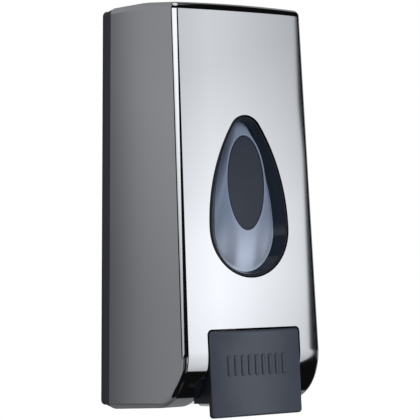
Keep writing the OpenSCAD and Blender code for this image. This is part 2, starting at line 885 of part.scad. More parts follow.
module outlet_valve() {
    top = stub_bottom - gap / 3;
    tip = top - bill_l;
    color("#c8b8a4") difference() {
        union() {
            rod_z(stub_r, top - valve_t, top, port_d);
            translate([0, -port_d, 0]) side_at(-bill_w, bill_w)
                polygon([[-bill_w, top], [bill_w, top], [bill_w / 2, tip], [-bill_w / 2, tip]]);
        }
        translate([-bill_w / 2, -port_d - bill_slit / 2, tip - bite])
            cube([bill_w, bill_slit, bill_l + 2 * bite]);
    }
}

module hinge_pins() {
    start = lug_x - lug_w / 2 - pin_show;
    color("#b4b8bd") both_sides() rod_x(hinge_pin_r, start, start + hinge_pin_l, hinge_d, hinge_z);
}

module front_cover() {
    knuckle_x = lug_x + lug_w / 2 + gap;
    color("#c9ccd1") difference() {
        union() {
            difference() {
                skin(0);
                skin(cover_t);
            }
            both_sides() rod_x(knuckle_r, knuckle_x, knuckle_x + knuckle_w, hinge_d, hinge_z);
            both_sides() pivot_lug();
            panel_at(post_root, post_end) at_posts() circle(r = post_r);
        }
        panel_at(-front_d / 2, flange_y + bite) polygon(teardrop(0));
        panel_at(-front_d / 2, cover_t + bite) translate([0, slot_top - body_h / 2])
            polygon(rectangle(slot_w, body_h, slot_r));
        block(slot_w, slot_rear_d, front_d + bottom_r, -body_h, curve_top_z);
        both_sides() {
            translate([lug_x, 0, 0])
                block(lug_w + 2 * gap, 0, hinge_d + hinge_r + bite, -body_h, hinge_z + hinge_r + gap);
            rod_x(hinge_pin_r + run, knuckle_x - bite, knuckle_x + knuckle_w + bite, hinge_d, hinge_z);
            rod_x(lever_pin_r + run, lug_in_x - bite, lug_in_x + lug_t + bite, pivot_d, pivot_z);
        }
        block(bolt_w + 2 * gap, bolt_d - gap, bolt_d + bolt_t + gap, bolt_top, reach);
    }
}

module pivot_lug() {
    intersection() {
        union() {
            side_at(lug_in_x, lug_in_x + lug_t)
                translate([-pivot_d - 2 * pivot_in, pivot_z - eye_r]) square([2 * pivot_in, 2 * eye_r]);
            rod_x(eye_r, lug_in_x, lug_in_x + lug_t, pivot_d, pivot_z);
        }
        skin(cover_t / 2);
    }
}

// The slope runs from the rim's inner edge to the floor's edge, which is drawn in more at the sides
module window_dish() {
    edge = teardrop(drop_rim + gap);
    low = [for (p = teardrop(slope_in)) [p[0] * floor_share, p[1]]];
    color("#5d6678") difference() {
        union() {
            difference() {
                union() {
                    panel_at(rim_y, dish_back) polygon(teardrop(gap));
                    panel_at(flange_y, flange_back) polygon(teardrop(-flange_w));
                }
                on_front() loft(
                    [for (k = [0 : len(low) - 1])
                        let (p = 2 * edge[k] - low[k]) [p[0], rim_y - dish_depth, p[1]]],
                    [for (p = low) [p[0], floor_y, p[1]]]
                );
            }
            dish_floor();
        }
        panel_at(oval_y - bite, dish_back + bite) translate([0, oval_z])
            polygon(ellipse(oval_w, oval_h));
        panel_at(flange_y - bite, flange_back + bite) at_posts() circle(r = post_r + gap);
    }
}

// The floor rises from just inside its edge to a narrow rim round the oval
module dish_floor() {
    low = [for (p = teardrop(slope_in + gap)) [p[0] * floor_share, p[1]]];
    high = [for (p = low) oval_towards(p)];
    grow = 1 + gap / 3 / floor_rise;
    on_front() loft(
        [for (p = high) [p[0], oval_y, p[1]]],
        [for (k = [0 : len(low) - 1])
            let (p = high[k] + grow * (low[k] - high[k])) [p[0], floor_y + gap / 3, p[1]]]
    );
}

module sight_glass() {
    color("#23262e", 0.8) {
        panel_at(oval_y + gap / 3, dish_back + gap / 3) translate([0, oval_z])
            polygon(ellipse(oval_w - gap, oval_h - gap));
        panel_at(dish_back + gap / 3 - sink, dish_back + oval_lip_t) translate([0, oval_z])
            polygon(ellipse(oval_w + 2 * oval_lip, oval_h + 2 * oval_lip));
    }
}

module window_gasket() {
    color("#1d1d1f") panel_at(flange_y - gasket_t, flange_y) difference() {
        polygon(teardrop(gap - flange_w));
        polygon(teardrop(-gap));
        at_posts() circle(r = post_r + gap);
    }
}

module window_clips() {
    front = flange_back + gap / 3;
    color("#9a9ea4") panel_at(front, front + clip_t) at_posts() difference() {
        circle(r = clip_r);
        circle(r = post_r + run);
    }
}

module push_lever() {
    color("#4b4f59") difference() {
        union() {
            panel_at(-lever_proud, lever_back) translate([0, lever_top - lever_h / 2])
                polygon(rectangle(lever_w, lever_h, lever_r));
            both_sides() lever_skirt();
            both_sides() lever_arm();
            rod_x(nub_r, -nub_w / 2, nub_w / 2, nub_d, pump_z);
        }
        both_sides() rod_x(lever_pin_r + run, arm_x - arm_w, arm_x + arm_w, pivot_d, pivot_z);
    }
}

// Skirt along one side of the lever
module lever_skirt() {
    low = lever_bottom + skirt_up;
    high = lever_top - lever_r;
    on_front() side_at(lever_w / 2 - skirt_t, lever_w / 2)
        translate([lever_back - sink, low]) square([skirt_d + sink, high - low]);
}

// Arm from the skirt up to the pivot, behind the cover
module lever_arm() {
    high = lever_top - lever_r;
    low = high - arm_l;
    side_at(arm_x - arm_w / 2, arm_x + arm_w / 2 + sink)
        polygon([[-pivot_d - eye_r, pivot_z], [-pivot_d + eye_r, pivot_z], [-pivot_d + eye_r, low],
                 [lever_back - front_at(low), low], [lever_back - front_at(high), high]]);
    rod_x(eye_r, arm_x - arm_w / 2, arm_x + arm_w / 2, pivot_d, pivot_z);
}

module lever_pin() {
    color("#b4b8bd") rod_x(lever_pin_r, -lever_pin_l / 2, lever_pin_l / 2, pivot_d, pivot_z);
}

module pin_clips() {
    color("#9a9ea4") both_sides() difference() {
        rod_x(pin_clip_r, clip_x, clip_x + pin_clip_t, pivot_d, pivot_z);
        rod_x(lever_pin_r + run, clip_x - bite, clip_x + pin_clip_t + bite, pivot_d, pivot_z);
        translate([clip_x - bite, -pivot_d - pin_clip_r - bite, pivot_z - lever_pin_r])
            cube([pin_clip_t + 2 * bite, pin_clip_r + bite, 2 * lever_pin_r]);
    }
}

module lock_bolt() {
    low = guide_top - guide_h - bolt_travel - gap - tab_h;
    color("#8d9198") {
        block(bolt_w, bolt_d, bolt_d + bolt_t, low, bolt_top);
        block(shoulder_w, bolt_d, bolt_d + bolt_t, guide_top + gap, guide_top + gap + shoulder_t);
        block(shoulder_w, bolt_d, bolt_d + bolt_t + tab_out, low, low + tab_h);
    }
}

back_plate();
soap_tank();
tank_lid();
lid_gasket();
pump_body();
pump_nut();
inlet_washer();
inlet_seat();
valve_ball();
plunger();
piston_seal();
gland_cap();
return_spring();
nozzle();
outlet_valve();
hinge_pins();
front_cover();
window_dish();
sight_glass();
window_gasket();
window_clips();
push_lever();
lever_pin();
pin_clips();
lock_bolt();
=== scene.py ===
"""Looks of the wall-mounted lever soap dispenser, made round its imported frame.

The wall is the plane y = 0, the dispenser stands out towards -Y and +Z is up. Lengths are in metres.
A distance from the wall is called d, so a point at distance d lies at y = -d.
"""

import json
import math

import bmesh
import bpy
import numpy as np
from bpy.props import FloatProperty, FloatVectorProperty, IntProperty, PointerProperty
from mathutils import Matrix, Vector
from mathutils.bvhtree import BVHTree
from mathutils.interpolate import poly_3d_calc


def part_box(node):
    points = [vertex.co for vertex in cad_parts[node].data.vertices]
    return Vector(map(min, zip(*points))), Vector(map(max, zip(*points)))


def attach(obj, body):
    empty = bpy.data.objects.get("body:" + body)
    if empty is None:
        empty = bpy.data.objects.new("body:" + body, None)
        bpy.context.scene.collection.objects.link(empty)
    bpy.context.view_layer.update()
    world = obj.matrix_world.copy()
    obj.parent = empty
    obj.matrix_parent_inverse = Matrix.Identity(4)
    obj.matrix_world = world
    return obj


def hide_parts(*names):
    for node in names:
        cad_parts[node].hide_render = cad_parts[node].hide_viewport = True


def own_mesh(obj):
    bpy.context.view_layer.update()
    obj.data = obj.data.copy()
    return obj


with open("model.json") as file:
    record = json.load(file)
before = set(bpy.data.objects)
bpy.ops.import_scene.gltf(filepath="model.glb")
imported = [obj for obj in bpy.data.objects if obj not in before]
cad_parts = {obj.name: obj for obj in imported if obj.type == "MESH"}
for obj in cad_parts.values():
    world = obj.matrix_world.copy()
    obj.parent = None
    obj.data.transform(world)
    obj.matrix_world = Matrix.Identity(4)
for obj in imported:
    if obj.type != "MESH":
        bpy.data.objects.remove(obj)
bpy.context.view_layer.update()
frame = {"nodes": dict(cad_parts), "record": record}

bl_info = {
    "name": "Lever soap dispenser",
    "version": (1, 0, 0),
    "blender": (4, 5, 0),
    "location": "View3D > Sidebar > Dispenser",
    "description": "Dresses the packed soap dispenser with finished pieces, materials and a stage",
    "category": "Object",
}

MM = 0.001
BODY_OF = {n: body for body, nodes in frame["record"]["behaviour"]["bodies"].items() for n in nodes}

# Rounding of the edges of pieces that follow their solids, in millimetres
ROUNDING = {
    **dict.fromkeys(("back_plate", "tank_lid", "plunger"), 0.4),
    **dict.fromkeys(("pump_body", "nozzle", "pump_nut", "gland_cap", "lock_bolt"), 0.3),
    **dict.fromkeys(("hinge_pins", "lever_pin"), 0.25),
    "soap_tank": 0.9,
    "outlet_valve": 0.15,
}


def size(name, text, mm):
    """A length that a user may change, given here in millimetres."""
    return FloatProperty(
        name=name, description=text, default=mm * MM, unit="LENGTH", subtype="DISTANCE", precision=5
    )


def turn(name, text, degrees):
    """An angle that a user may change, given here in degrees."""
    return FloatProperty(name=name, description=text, default=math.radians(degrees), subtype="ANGLE")


def tint(name, text, colour):
    """A colour that a user may change."""
    return FloatVectorProperty(
        name=name, description=text, default=colour, size=3, min=0, max=1, subtype="COLOR"
    )


class CoverSizes(bpy.types.PropertyGroup):
    """Sizes of the plated cover"""

    height: size("Height", "Height of the cover and the back plate", 210)
    front_top: size("Front width, top", "Width of the front face at the top", 82.7)
    front_bottom: size("Front width, bottom", "Width of the front face at the bottom", 89.4)
    rear_top: size("Rear width, top", "Width of the rear edge at the top", 88.8)
    rear_bottom: size("Rear width, bottom", "Width of the rear edge at the bottom", 91)
    depth: size("Depth", "Distance from the wall to the front's side edges at mid height", 69.5)
    lean: turn("Lean", "Lean of the front face", 4.3)
    bulge: size("Bulge", "How far the middle of the front stands past its side edges", 1.5)
    wall: size("Wall", "Wall thickness", 2.2)
    edge_r: size("Edge radius", "Radius of the upright front edges", 3.2)
    top_r: size("Top radius", "Radius of the top front edge", 4.5)
    bottom_r: size("Bottom radius", "Radius of the lower front curve", 27)
    bottom_rise: turn("Bottom rise", "Rise of the underside towards the front", 5)
    crown: size("Crown", "Height of the top's crest above its rear edge", 1.5)
    arch: size("Arch", "Height of the top's arch from side to side", 0.8)
    corner_r: size("Corner radius", "Radius where the top meets the sides", 3.5)
    side_bow: size("Side bow", "How far the middle of each side stands out", 0.3)
    rear: size("Rear edge", "Distance from the wall to the cover's rear edge", 9.3)
    hinge_r: size("Hinge radius", "Radius of the lower rear edge", 3.2)


class WindowSizes(bpy.types.PropertyGroup):
    """Sizes of the teardrop window"""

    round_r: size("Round radius", "Radius of the round lower end", 25.6)
    round_z: size("Round height", "Height of the round end's centre", -10)
    tall: size("Height", "Height of the teardrop", 84)
    side_r: size("Side radius", "Radius of the long side curves", 95)
    rim: size("Rim", "Width of the rim", 1.5)
    slope: size("Side slope", "Width of the slope at the window's sides", 5)
    end: size("End slope", "Width of the slope at the window's upper and lower ends", 1.6)
    depth: size("Depth", "Depth of the floor below the rim", 4.5)
    rise: size("Floor rise", "How far the floor rises from its edge to the sight glass", 3.4)
    floor_t: size("Floor", "Thickness of the floor and flange", 1.8)
    flange: size("Flange", "Width of the flange behind the cover", 6)
    oval_w: size("Oval width", "Width of the sight glass", 23.6)
    oval_h: size("Oval height", "Height of the sight glass", 49)
    oval_z: size("Oval centre", "Height of the sight glass's centre", 13.5)


class LeverSizes(bpy.types.PropertyGroup):
    """Sizes of the push lever and its grip"""

    width: size("Width", "Width of the face", 58)
    height: size("Height", "Height of the face", 44)
    low: size("Low", "How far the lower edge hangs below the cover", 1)
    proud: size("Proud", "How far the face stands past the front's side edges", 1.6)
    edge: size("Edge", "Rounding of the face's edges", 1.4)
    ribs: IntProperty(name="Ribs", description="Number of raised grip ribs", default=9, min=1)
    rib_step: size("Rib step", "Distance from rib to rib", 4.4)
    rib_w: size("Rib width", "Width of a rib", 2)
    rib_l: size("Rib length", "Length of a rib", 10.5)
    rib_out: size("Rib height", "Height of a rib above the face", 0.7)


class SpringSizes(bpy.types.PropertyGroup):
    """Sizes of the return spring and the gland cap's grip"""

    coil_r: size("Coil radius", "Radius to the middle of the wire", 5.8)
    wire_r: size("Wire radius", "Radius of the wire", 0.5)
    turns: FloatProperty(name="Turns", description="Number of turns", default=3.5, min=1)
    ribs: IntProperty(name="Cap ribs", description="Number of ribs round the gland cap", default=24, min=3)


class Finishes(bpy.types.PropertyGroup):
    """Colours of the finishes"""

    plating: tint("Plating", "Bright plating of the cover", (0.95, 0.955, 0.965))
    plate: tint("Back plate", "Moulded back plate", (0.022, 0.023, 0.031))
    lever: tint("Lever", "Moulded push lever", (0.053, 0.063, 0.085))
    dish: tint("Window dish", "Tinted floor of the window, at its top", (0.235, 0.285, 0.395))
    # Painted reflection: this paler colour near the floor's lower end stands in for the light it reflects
    # there
    dish_low_painted_light: tint("Window dish, low", "Tinted floor of the window, near its lower end", (0.62, 0.7, 0.86))
    dish_dark: tint("Window rim", "Rim and slopes of the window", (0.016, 0.022, 0.034))
    sight: tint("Sight glass", "Smoked sight glass", (0.006, 0.012, 0.026))
    tank: tint("Tank", "Natural plastic of the tank", (0.78, 0.81, 0.8))
    lid: tint("Lid", "Moulded tank lid", (0.035, 0.037, 0.042))
    pump: tint("Pump", "White pump mouldings", (0.76, 0.76, 0.72))
    nut: tint("Nut", "Pump nut and gland cap", (0.62, 0.63, 0.6))
    rubber: tint("Rubber", "Seals", (0.012, 0.012, 0.013))
    silicone: tint("Silicone", "Outlet valve", (0.62, 0.5, 0.36))
    steel: tint("Steel", "Pins, clips, spring and bolt", (0.56, 0.57, 0.58))


# Meshes


def link(name, mesh):
    """An object of that mesh in the scene."""
    made = bpy.data.objects.new(name, mesh)
    bpy.context.scene.collection.objects.link(made)
    return made


def solid(name, points, faces):
    """An object from points and faces, with its faces turned outwards."""
    mesh = bpy.data.meshes.new(name)
    mesh.from_pydata([tuple(p) for p in points], [], [tuple(f) for f in faces])
    work = bmesh.new()
    work.from_mesh(mesh)
    bmesh.ops.recalc_face_normals(work, faces=work.faces)
    work.to_mesh(mesh)
    work.free()
    return link(name, mesh)


def loft(name, rings, closed=False):
    """A solid through rings of as many points each: its ends are capped, or the last ring meets the first."""
    rings = [np.asarray(r, float) for r in rings]
    count, many = len(rings), len(rings[0])
    faces = []
    for k in range(count if closed else count - 1):
        a, b = k * many, (k + 1) % count * many
        for i in range(many):
            j = (i + 1) % many
            faces.append((a + i, a + j, b + j, b + i))
    if not closed:
        faces.append(tuple(reversed(range(many))))
        faces.append(tuple(range((count - 1) * many, count * many)))
    return solid(name, np.concatenate(rings), faces)


def block(name, x0, x1, d0, d1, z0, z1):
    """A box between two places across, two distances from the wall and two heights."""
    ring = [(x0, -d0), (x1, -d0), (x1, -d1), (x0, -d1)]
    return loft(name, [[(x, y, z) for x, y in ring] for z in (z0, z1)])


def rod(name, r, start, end, many=48):
    """A round rod between two points."""
    start, end = Vector(start), Vector(end)
    along = (end - start).normalized()
    side = along.orthogonal().normalized()
    up = along.cross(side)
    turns = [2 * math.pi * k / many for k in range(many)]
    rings = [[tuple(p + r * (math.cos(a) * side + math.sin(a) * up)) for a in turns] for p in (start, end)]
    return loft(name, rings)


def baked(made):
    """Replaces an object's mesh by what its modifiers make of it."""
    depsgraph = bpy.context.evaluated_depsgraph_get()
    mesh = bpy.data.meshes.new_from_object(made.evaluated_get(depsgraph))
    old = made.data
    made.modifiers.clear()
    made.data = mesh
    bpy.data.meshes.remove(old)
    return made


def combine(base, tools, how):
    """Adds tools to base, or cuts them out of it, and removes them."""
    for tool in tools:
        change = base.modifiers.new("combine", "BOOLEAN")
        change.operation, change.solver, change.object = how, "EXACT", tool
        baked(base)
        mesh = tool.data
        bpy.data.objects.remove(tool)
        bpy.data.meshes.remove(mesh)
    if not base.data.polygons:
        raise RuntimeError(f"{base.name} was lost in a cut")
    return base


def smooth(made, degrees=32):
    """Smooth shading that keeps edges sharper than an angle."""
    made.data.shade_smooth()
    made.data.set_sharp_from_angle(angle=math.radians(degrees))
    return made


def place(made, node, finish, name):
    """Puts a finished piece in its node's place, on the node's body, with its material."""
    made.name = name
    made.data.name = made.name
    made.data.materials.clear()
    made.data.materials.append(finish)
    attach(made, BODY_OF[node])
    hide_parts(node)


def copied(node):
    """A copy of a node's solid, with its loose triangles joined into faces."""
    mesh = frame["nodes"][node].data.copy()
    work = bmesh.new()
    work.from_mesh(mesh)
    bmesh.ops.remove_doubles(work, verts=work.verts, dist=1e-6)
    bmesh.ops.dissolve_limit(
        work, angle_limit=math.radians(0.4), verts=work.verts, edges=work.edges, delimit={"NORMAL"}
    )
    work.to_mesh(mesh)
    work.free()
    return link(node + "_copy", mesh)


def softened(node, segments=2, degrees=32):
    """A copy of a node's solid with its sharp edges rounded, and its flat faces kept flat in the light."""
    made = copied(node)
    change = made.modifiers.new("soften", "BEVEL")
    change.width, change.segments = ROUNDING[node] * MM, segments
    change.limit_method, change.angle_limit = "ANGLE", math.radians(degrees)
    change.use_clamp_overlap, change.harden_normals = True, False
    change.miter_outer = "MITER_ARC"
    smooth(baked(made), degrees)
    even = made.modifiers.new("even", "WEIGHTED_NORMAL")
    even.mode, even.weight, even.keep_sharp = "FACE_AREA", 100, True
    return baked(made)


def dress(finish, ending, *nodes):
    """Puts softened copies in the places of nodes, with one finish; their names end alike."""
    for node in nodes:
        place(softened(node), node, finish, node + ending)


def keep(finish, *nodes):
    """Leaves the nodes' own solids in view and gives them a finish."""
    for node in nodes:
        mesh = frame["nodes"][node].data
        mesh.materials.clear()
        mesh.materials.append(finish)


# Cover


def half_width(top, bottom, height, z):
    """Half the width at height z of what tapers from bottom to top."""
    return (top + bottom) / 4 + (top - bottom) / 4 * z / (height / 2)


def rounded_line(corners, radii, line_steps, arc_steps):
    """Points and left-hand normals along a line whose inner corners are rounded."""
    corners = [np.array(c, float) for c in corners]
    points, normals = [], []

    def left(v):
        return np.array([-v[1], v[0]])

    start = corners[0]
    for k in range(1, len(corners)):
        into = corners[k] - corners[k - 1]
        into /= np.linalg.norm(into)
        stop, arc = corners[k], []
        if k < len(corners) - 1:
            out = corners[k + 1] - corners[k]
            out /= np.linalg.norm(out)
            bend = math.atan2(into[0] * out[1] - into[1] * out[0], into @ out)
            cut = radii[k - 1] * math.tan(abs(bend) / 2)
            stop, after = corners[k] - cut * into, corners[k] + cut * out
            centre = stop + math.copysign(radii[k - 1], bend) * left(into)
            for j in range(1, arc_steps[k - 1] + 1):
                a = bend * j / arc_steps[k - 1]
                c, s = math.cos(a), math.sin(a)
                spin = np.array([[c, -s], [s, c]])
                arc.append((centre + spin @ (stop - centre), left(spin @ into)))
        for j in range(0 if k == 1 else 1, line_steps[k - 1] + 1):
            points.append(start + (stop - start) * j / line_steps[k - 1])
            normals.append(left(into))
        for p, n in arc:
            points.append(p)
            normals.append(n)
        if arc:
            start = after
    return np.array(points), np.array(normals)


class Skin:
    """The cover's surface drawn in by a distance: rings across it along its side profile, and two sides."""

    TOP_RISE, CREST_D, CREST_R, TOP_FALL = 0.6 * MM, 36 * MM, 60 * MM, math.radians(3.3)
    LEAST_R = 0.6 * MM
    LINES, ARCS = (6, 12, 36, 10), (4, 16, 40)
    TOP, FRONT = 30, 94
    CROWN_STEPS, EDGE_STEPS = 12, 9

    def __init__(self, sizes, inset, overhang):
        self.s, self.inset, self.overhang = sizes, inset, overhang
        line, outward = self.profile()
        self.points, self.normals, self.faces = [], [], []
        rings, ends = [], []
        for p, n in zip(line, outward):
            ring, end = self.across(p, n)
            rings.append(ring)
            ends.append(end)
        many = len(rings[0])
        for k in range(len(rings) - 1):
            for i in range(many - 1):
                a = k * many + i
                self.faces.append((a, a + 1, a + many + 1, a + many))
        columns = [self.side(np.array(ends), many, sign) for sign in (-1, 1)]
        top, low = list(range(many)), [(len(rings) - 1) * many + i for i in range(many)]
        self.faces.append(tuple(top + columns[1] + low[::-1] + columns[0][::-1]))

    def width(self, d, z):
        """Half width at distance d and height z, and its changes with both."""
        s = self.s
        rear = half_width(s.rear_top, s.rear_bottom, s.height, z)
        front = half_width(s.front_top, s.front_bottom, s.height, z)
        front_d = s.depth - math.tan(s.lean) * z
        span = front_d - s.rear
        share = (d - s.rear) / span
        value = rear + (front - rear) * share + 4 * s.side_bow * share * (1 - share)
        by_d = (front - rear) / span + 4 * s.side_bow * (1 - 2 * share) / span
        rear_z = (s.rear_top - s.rear_bottom) / 2 / s.height
        front_z = (s.front_top - s.front_bottom) / 2 / s.height
        by_z = rear_z + (front_z - rear_z) * share
        return value - self.inset, by_d, by_z

    def profile(self):
        """Side view of the skin from rear top to rear bottom: points in d and z, and outward normals."""
        s, i = self.s, self.inset
        half, t = s.height / 2, math.tan(s.lean)
        rise, fall = math.tan(s.bottom_rise), math.tan(self.TOP_FALL)
        hinge_d = s.rear + s.hinge_r
        front = s.depth + s.bulge - i / math.cos(s.lean)
        low = -half + i / math.cos(s.bottom_rise)
        low_d = (front - t * (low - rise * hinge_d)) / (1 + t * rise)
        low_z = low + rise * (low_d - hinge_d)
        rear_z = half + self.TOP_RISE - i
        crest_z = rear_z + s.crown
        high_d = (front - t * (crest_z + fall * self.CREST_D)) / (1 - t * fall)
        high_z = crest_z - fall * (high_d - self.CREST_D)
        start = s.rear - self.overhang
        start_z = rear_z - s.crown / (self.CREST_D - s.rear) * self.overhang
        corners = [
            (start, start_z),
            (self.CREST_D, crest_z),
            (high_d, high_z),
            (low_d, low_z),
            (start, low + rise * (start - hinge_d)),
        ]
        radii = (self.CREST_R, max(s.top_r - i, self.LEAST_R), s.bottom_r - i)
        return rounded_line(corners, radii, self.LINES, self.ARCS)

    def across(self, p, n):
        """One ring across the cover at a profile point: it is crowned, and rounded into the two sides."""
        s = self.s
        up, out = max(n[1], 0) ** 2, max(n[0], 0) ** 2
        ramp = min(max((p[0] - s.rear) / (self.CREST_D - s.rear), 0), 1)
        crown = s.arch * up * ramp + s.bulge * out
        r = max(s.edge_r + (s.corner_r - s.edge_r) * up - self.inset, self.LEAST_R)
        end = p - n * (crown + r)
        w, by_d, by_z = self.width(*end)
        tangent = np.array([n[1], -n[0]])
        along = by_d * tangent[0] + by_z * tangent[1]
        side_angle = math.pi / 2 - math.atan(-(by_d * n[0] + by_z * n[1]))
        edge_angle = max(2 * crown / w, 1e-5)
        edge_x = r * (math.sin(side_angle) - math.sin(edge_angle))
        radius = (w - edge_x) / math.sin(edge_angle)
        half = []
        for k in range(self.CROWN_STEPS + 1):
            a = edge_angle * k / self.CROWN_STEPS
            half.append((radius * math.sin(a), radius * (1 - math.cos(a)), a))
        x1, h1, _ = half[-1]
        for k in range(1, self.EDGE_STEPS + 1):
            a = edge_angle + (side_angle - edge_angle) * k / self.EDGE_STEPS
            x = x1 + r * (math.sin(a) - math.sin(edge_angle))
            half.append((x, h1 + r * (math.cos(edge_angle) - math.cos(a)), a))
        ring = [(-x, h, -a) for x, h, a in half[:0:-1]] + half
        first = len(self.points)
        for x, h, a in ring:
            q = p - n * h
            normal = np.array([math.sin(a), math.cos(a) * n[0], math.cos(a) * n[1]])
            lean = abs(math.sin(a)) * abs(x) / w * along
            normal[1:] -= tangent * lean
            self.points.append((x, -q[0], q[1]))
            self.normals.append(Vector((normal[0], -normal[1], normal[2])).normalized())
        return list(range(first, first + len(ring))), p - n * half[-1][1]

    def side(self, ends, many, sign):
        """One side face, spread between the ends of the rings and the straight rear edge."""
        last = len(ends) - 1
        edge = [k * many + (many - 1 if sign > 0 else 0) for k in range(last + 1)]
        top, front, low = ends[: self.TOP + 1], ends[self.TOP : self.FRONT + 1], ends[self.FRONT :][::-1]
        rows, cols = len(front), len(top)
        grid = np.zeros((rows, cols), int)
        grid[0], grid[-1], grid[:, -1] = edge[:cols], edge[::-1][:cols], edge[self.TOP : self.FRONT + 1]
        for v in range(1, rows - 1):
            for u in range(cols - 1):
                a, b = u / (cols - 1), v / (rows - 1)
                rear = top[0] + (low[0] - top[0]) * b
                q = (1 - b) * top[u] + b * low[u] + (1 - a) * rear + a * front[v]
                q = q - (1 - a) * ((1 - b) * top[0] + b * low[0]) - a * ((1 - b) * top[-1] + b * low[-1])
                w, by_d, by_z = self.width(*q)
                grid[v, u] = len(self.points)
                self.points.append((sign * w, -q[0], q[1]))
                self.normals.append(Vector((sign, by_d, -by_z)).normalized())
        for v in range(rows - 1):
            for u in range(cols - 1):
                self.faces.append((grid[v, u], grid[v, u + 1], grid[v + 1, u + 1], grid[v + 1, u]))
        return [int(k) for k in grid[1:-1, 0]]

    def solid(self, name):
        return solid(name, self.points, self.faces)


# How near to a skin a face lies, and the cosine of how little it turns from it, to count as part of it
SKIN_NEAR, SKIN_ALONG = 0.03 * MM, 0.93


def skin_normals(made, skins):
    """Gives the faces that lie on a skin that skin's exact normals, so that reflections run smoothly."""
    mesh = smooth(made).data
    normals = [Vector(n.vector) for n in mesh.corner_normals]
    for skin, sign in skins:
        tree = BVHTree.FromPolygons(skin.points, skin.faces[:-1])
        corners = [Vector(p) for p in skin.points]
        for face in mesh.polygons:
            _, facing, _, far = tree.find_nearest(face.center)
            if far > SKIN_NEAR or abs(facing.dot(face.normal)) < SKIN_ALONG:
                continue
            for k in face.loop_indices:
                spot, _, index, _ = tree.find_nearest(mesh.vertices[mesh.loops[k].vertex_index].co)
                ring = skin.faces[index]
                shares = poly_3d_calc([corners[c] for c in ring], spot)
                normal = sum((skin.normals[c] * share for c, share in zip(ring, shares)), Vector())
                normals[k] = sign * normal.normalized()
    mesh.normals_split_custom_set([tuple(n) for n in normals])
    return made


def on_front(points):
    """Brings points from the front face's frame (x across, z up along it, -y out of it) to the shared one."""
    s = bpy.context.scene.dispenser_cover
    c, t = math.cos(s.lean), math.sin(s.lean)
    points = np.asarray(points, float)
    x, y, z = points[:, 0], points[:, 1], points[:, 2]
    return np.stack([x, y * c + z * t - s.depth, z * c - y * t], axis=1)


def panel(name, outline, y0, y1):
    """A flat outline in x and z made solid on the front face, from depth y0 to depth y1."""
    return loft(name, [on_front([(x, y, z) for x, z in outline]) for y in (y0, y1)])


def rounded_rectangle(w, h, r, z, many=10):
    """Outline of a rectangle with round corners, centred across at height z."""
    outline = []
    for k, (sx, sz) in enumerate(((1, -1), (1, 1), (-1, 1), (-1, -1))):
        for j in range(many + 1):
            a = math.radians(90 * (k - 1) + 90 * j / many)
            outline.append((sx * (w / 2 - r) + r * math.cos(a), z + sz * (h / 2 - r) + r * math.sin(a)))
    return outline


def teardrop(inset, many=48):
    """Outline of the window drawn in by a distance: x and z on the front face."""
    s = bpy.context.scene.dispenser_window
    side_x = s.side_r - s.round_r
    rise = s.tall - s.round_r
    top_r = (s.side_r**2 - side_x**2 - rise**2) / (2 * (s.side_r - rise))
    tip = rise - top_r
    a = math.atan2(tip, side_x)
    arcs = (
        (0, 0, s.round_r, math.pi, 2 * math.pi, 2 * many),
        (-side_x, 0, s.side_r, 0, a, many),
        (0, tip, top_r, a, math.pi - a, many),
        (side_x, 0, s.side_r, math.pi - a, math.pi, many),
    )
    outline = []
    for x, z, r, a0, a1, steps in arcs:
        for k in range(steps):
            b = a0 + (a1 - a0) * k / steps
            outline.append((x + (r - inset) * math.cos(b), s.round_z + z + (r - inset) * math.sin(b)))
    return outline


# Places that the cover, the lever and the window share with the frame
GAP = 0.3 * MM
RUN = 0.05 * MM
HINGE_Z = -101.788 * MM
HINGE_PIN_R = 1 * MM
LUG_X, LUG_W, KNUCKLE_W = 30 * MM, 5 * MM, 6 * MM
BOLT_W, BOLT_D, BOLT_T, BOLT_TOP = 12 * MM, 12.3 * MM, 3 * MM, 102.6 * MM
SLOT_GAP, SLOT_REAR = 0.8 * MM, 22 * MM
LEVER_R = 2 * MM
PIVOT_D, PIVOT_Z, EYE_R, PIN_R = 65.7107 * MM, -56 * MM, 3.5 * MM, 1.5 * MM
PIVOT_X, PIVOT_T = 26.9 * MM, 3 * MM
POST_R, POST_OUT, POST_L = 1.5 * MM, 3.4 * MM, 3 * MM
POST_LOW, POST_HIGH = math.radians(-35), math.radians(30)
RIM_DROP = 0.675 * MM
FLANGE_Y = 2.4917 * MM
LEVER_BACK = 1.4 * MM
PUMP_Z = -86 * MM
# How far cutting tools reach past what they cut
PAST = 1 * MM


def post_places():
    """Places of the four window posts: x and z on the front face."""
    s = bpy.context.scene.dispenser_window
    low, high, side_x = s.round_r + POST_OUT, s.side_r + POST_OUT, s.side_r - s.round_r
    return [
        (sign * x, s.round_z + z)
        for sign in (-1, 1)
        for x, z in (
            (low * math.cos(POST_LOW), low * math.sin(POST_LOW)),
            (high * math.cos(POST_HIGH) - side_x, high * math.sin(POST_HIGH)),
        )
    ]


def post_rods(r, y0, y1):
    """Rods along the front face's normal at the four posts."""
    made = []
    for x, z in post_places():
        start, end = on_front([(x, y0, z), (x, y1, z)])
        made.append(rod("post", r, start, end))
    return made


# Materials


def connect(tree, socket, value):
    """Feeds a socket with a wire or a plain value."""
    if isinstance(value, Wire):
        tree.links.new(value.socket, socket)
    else:
        socket.default_value = value


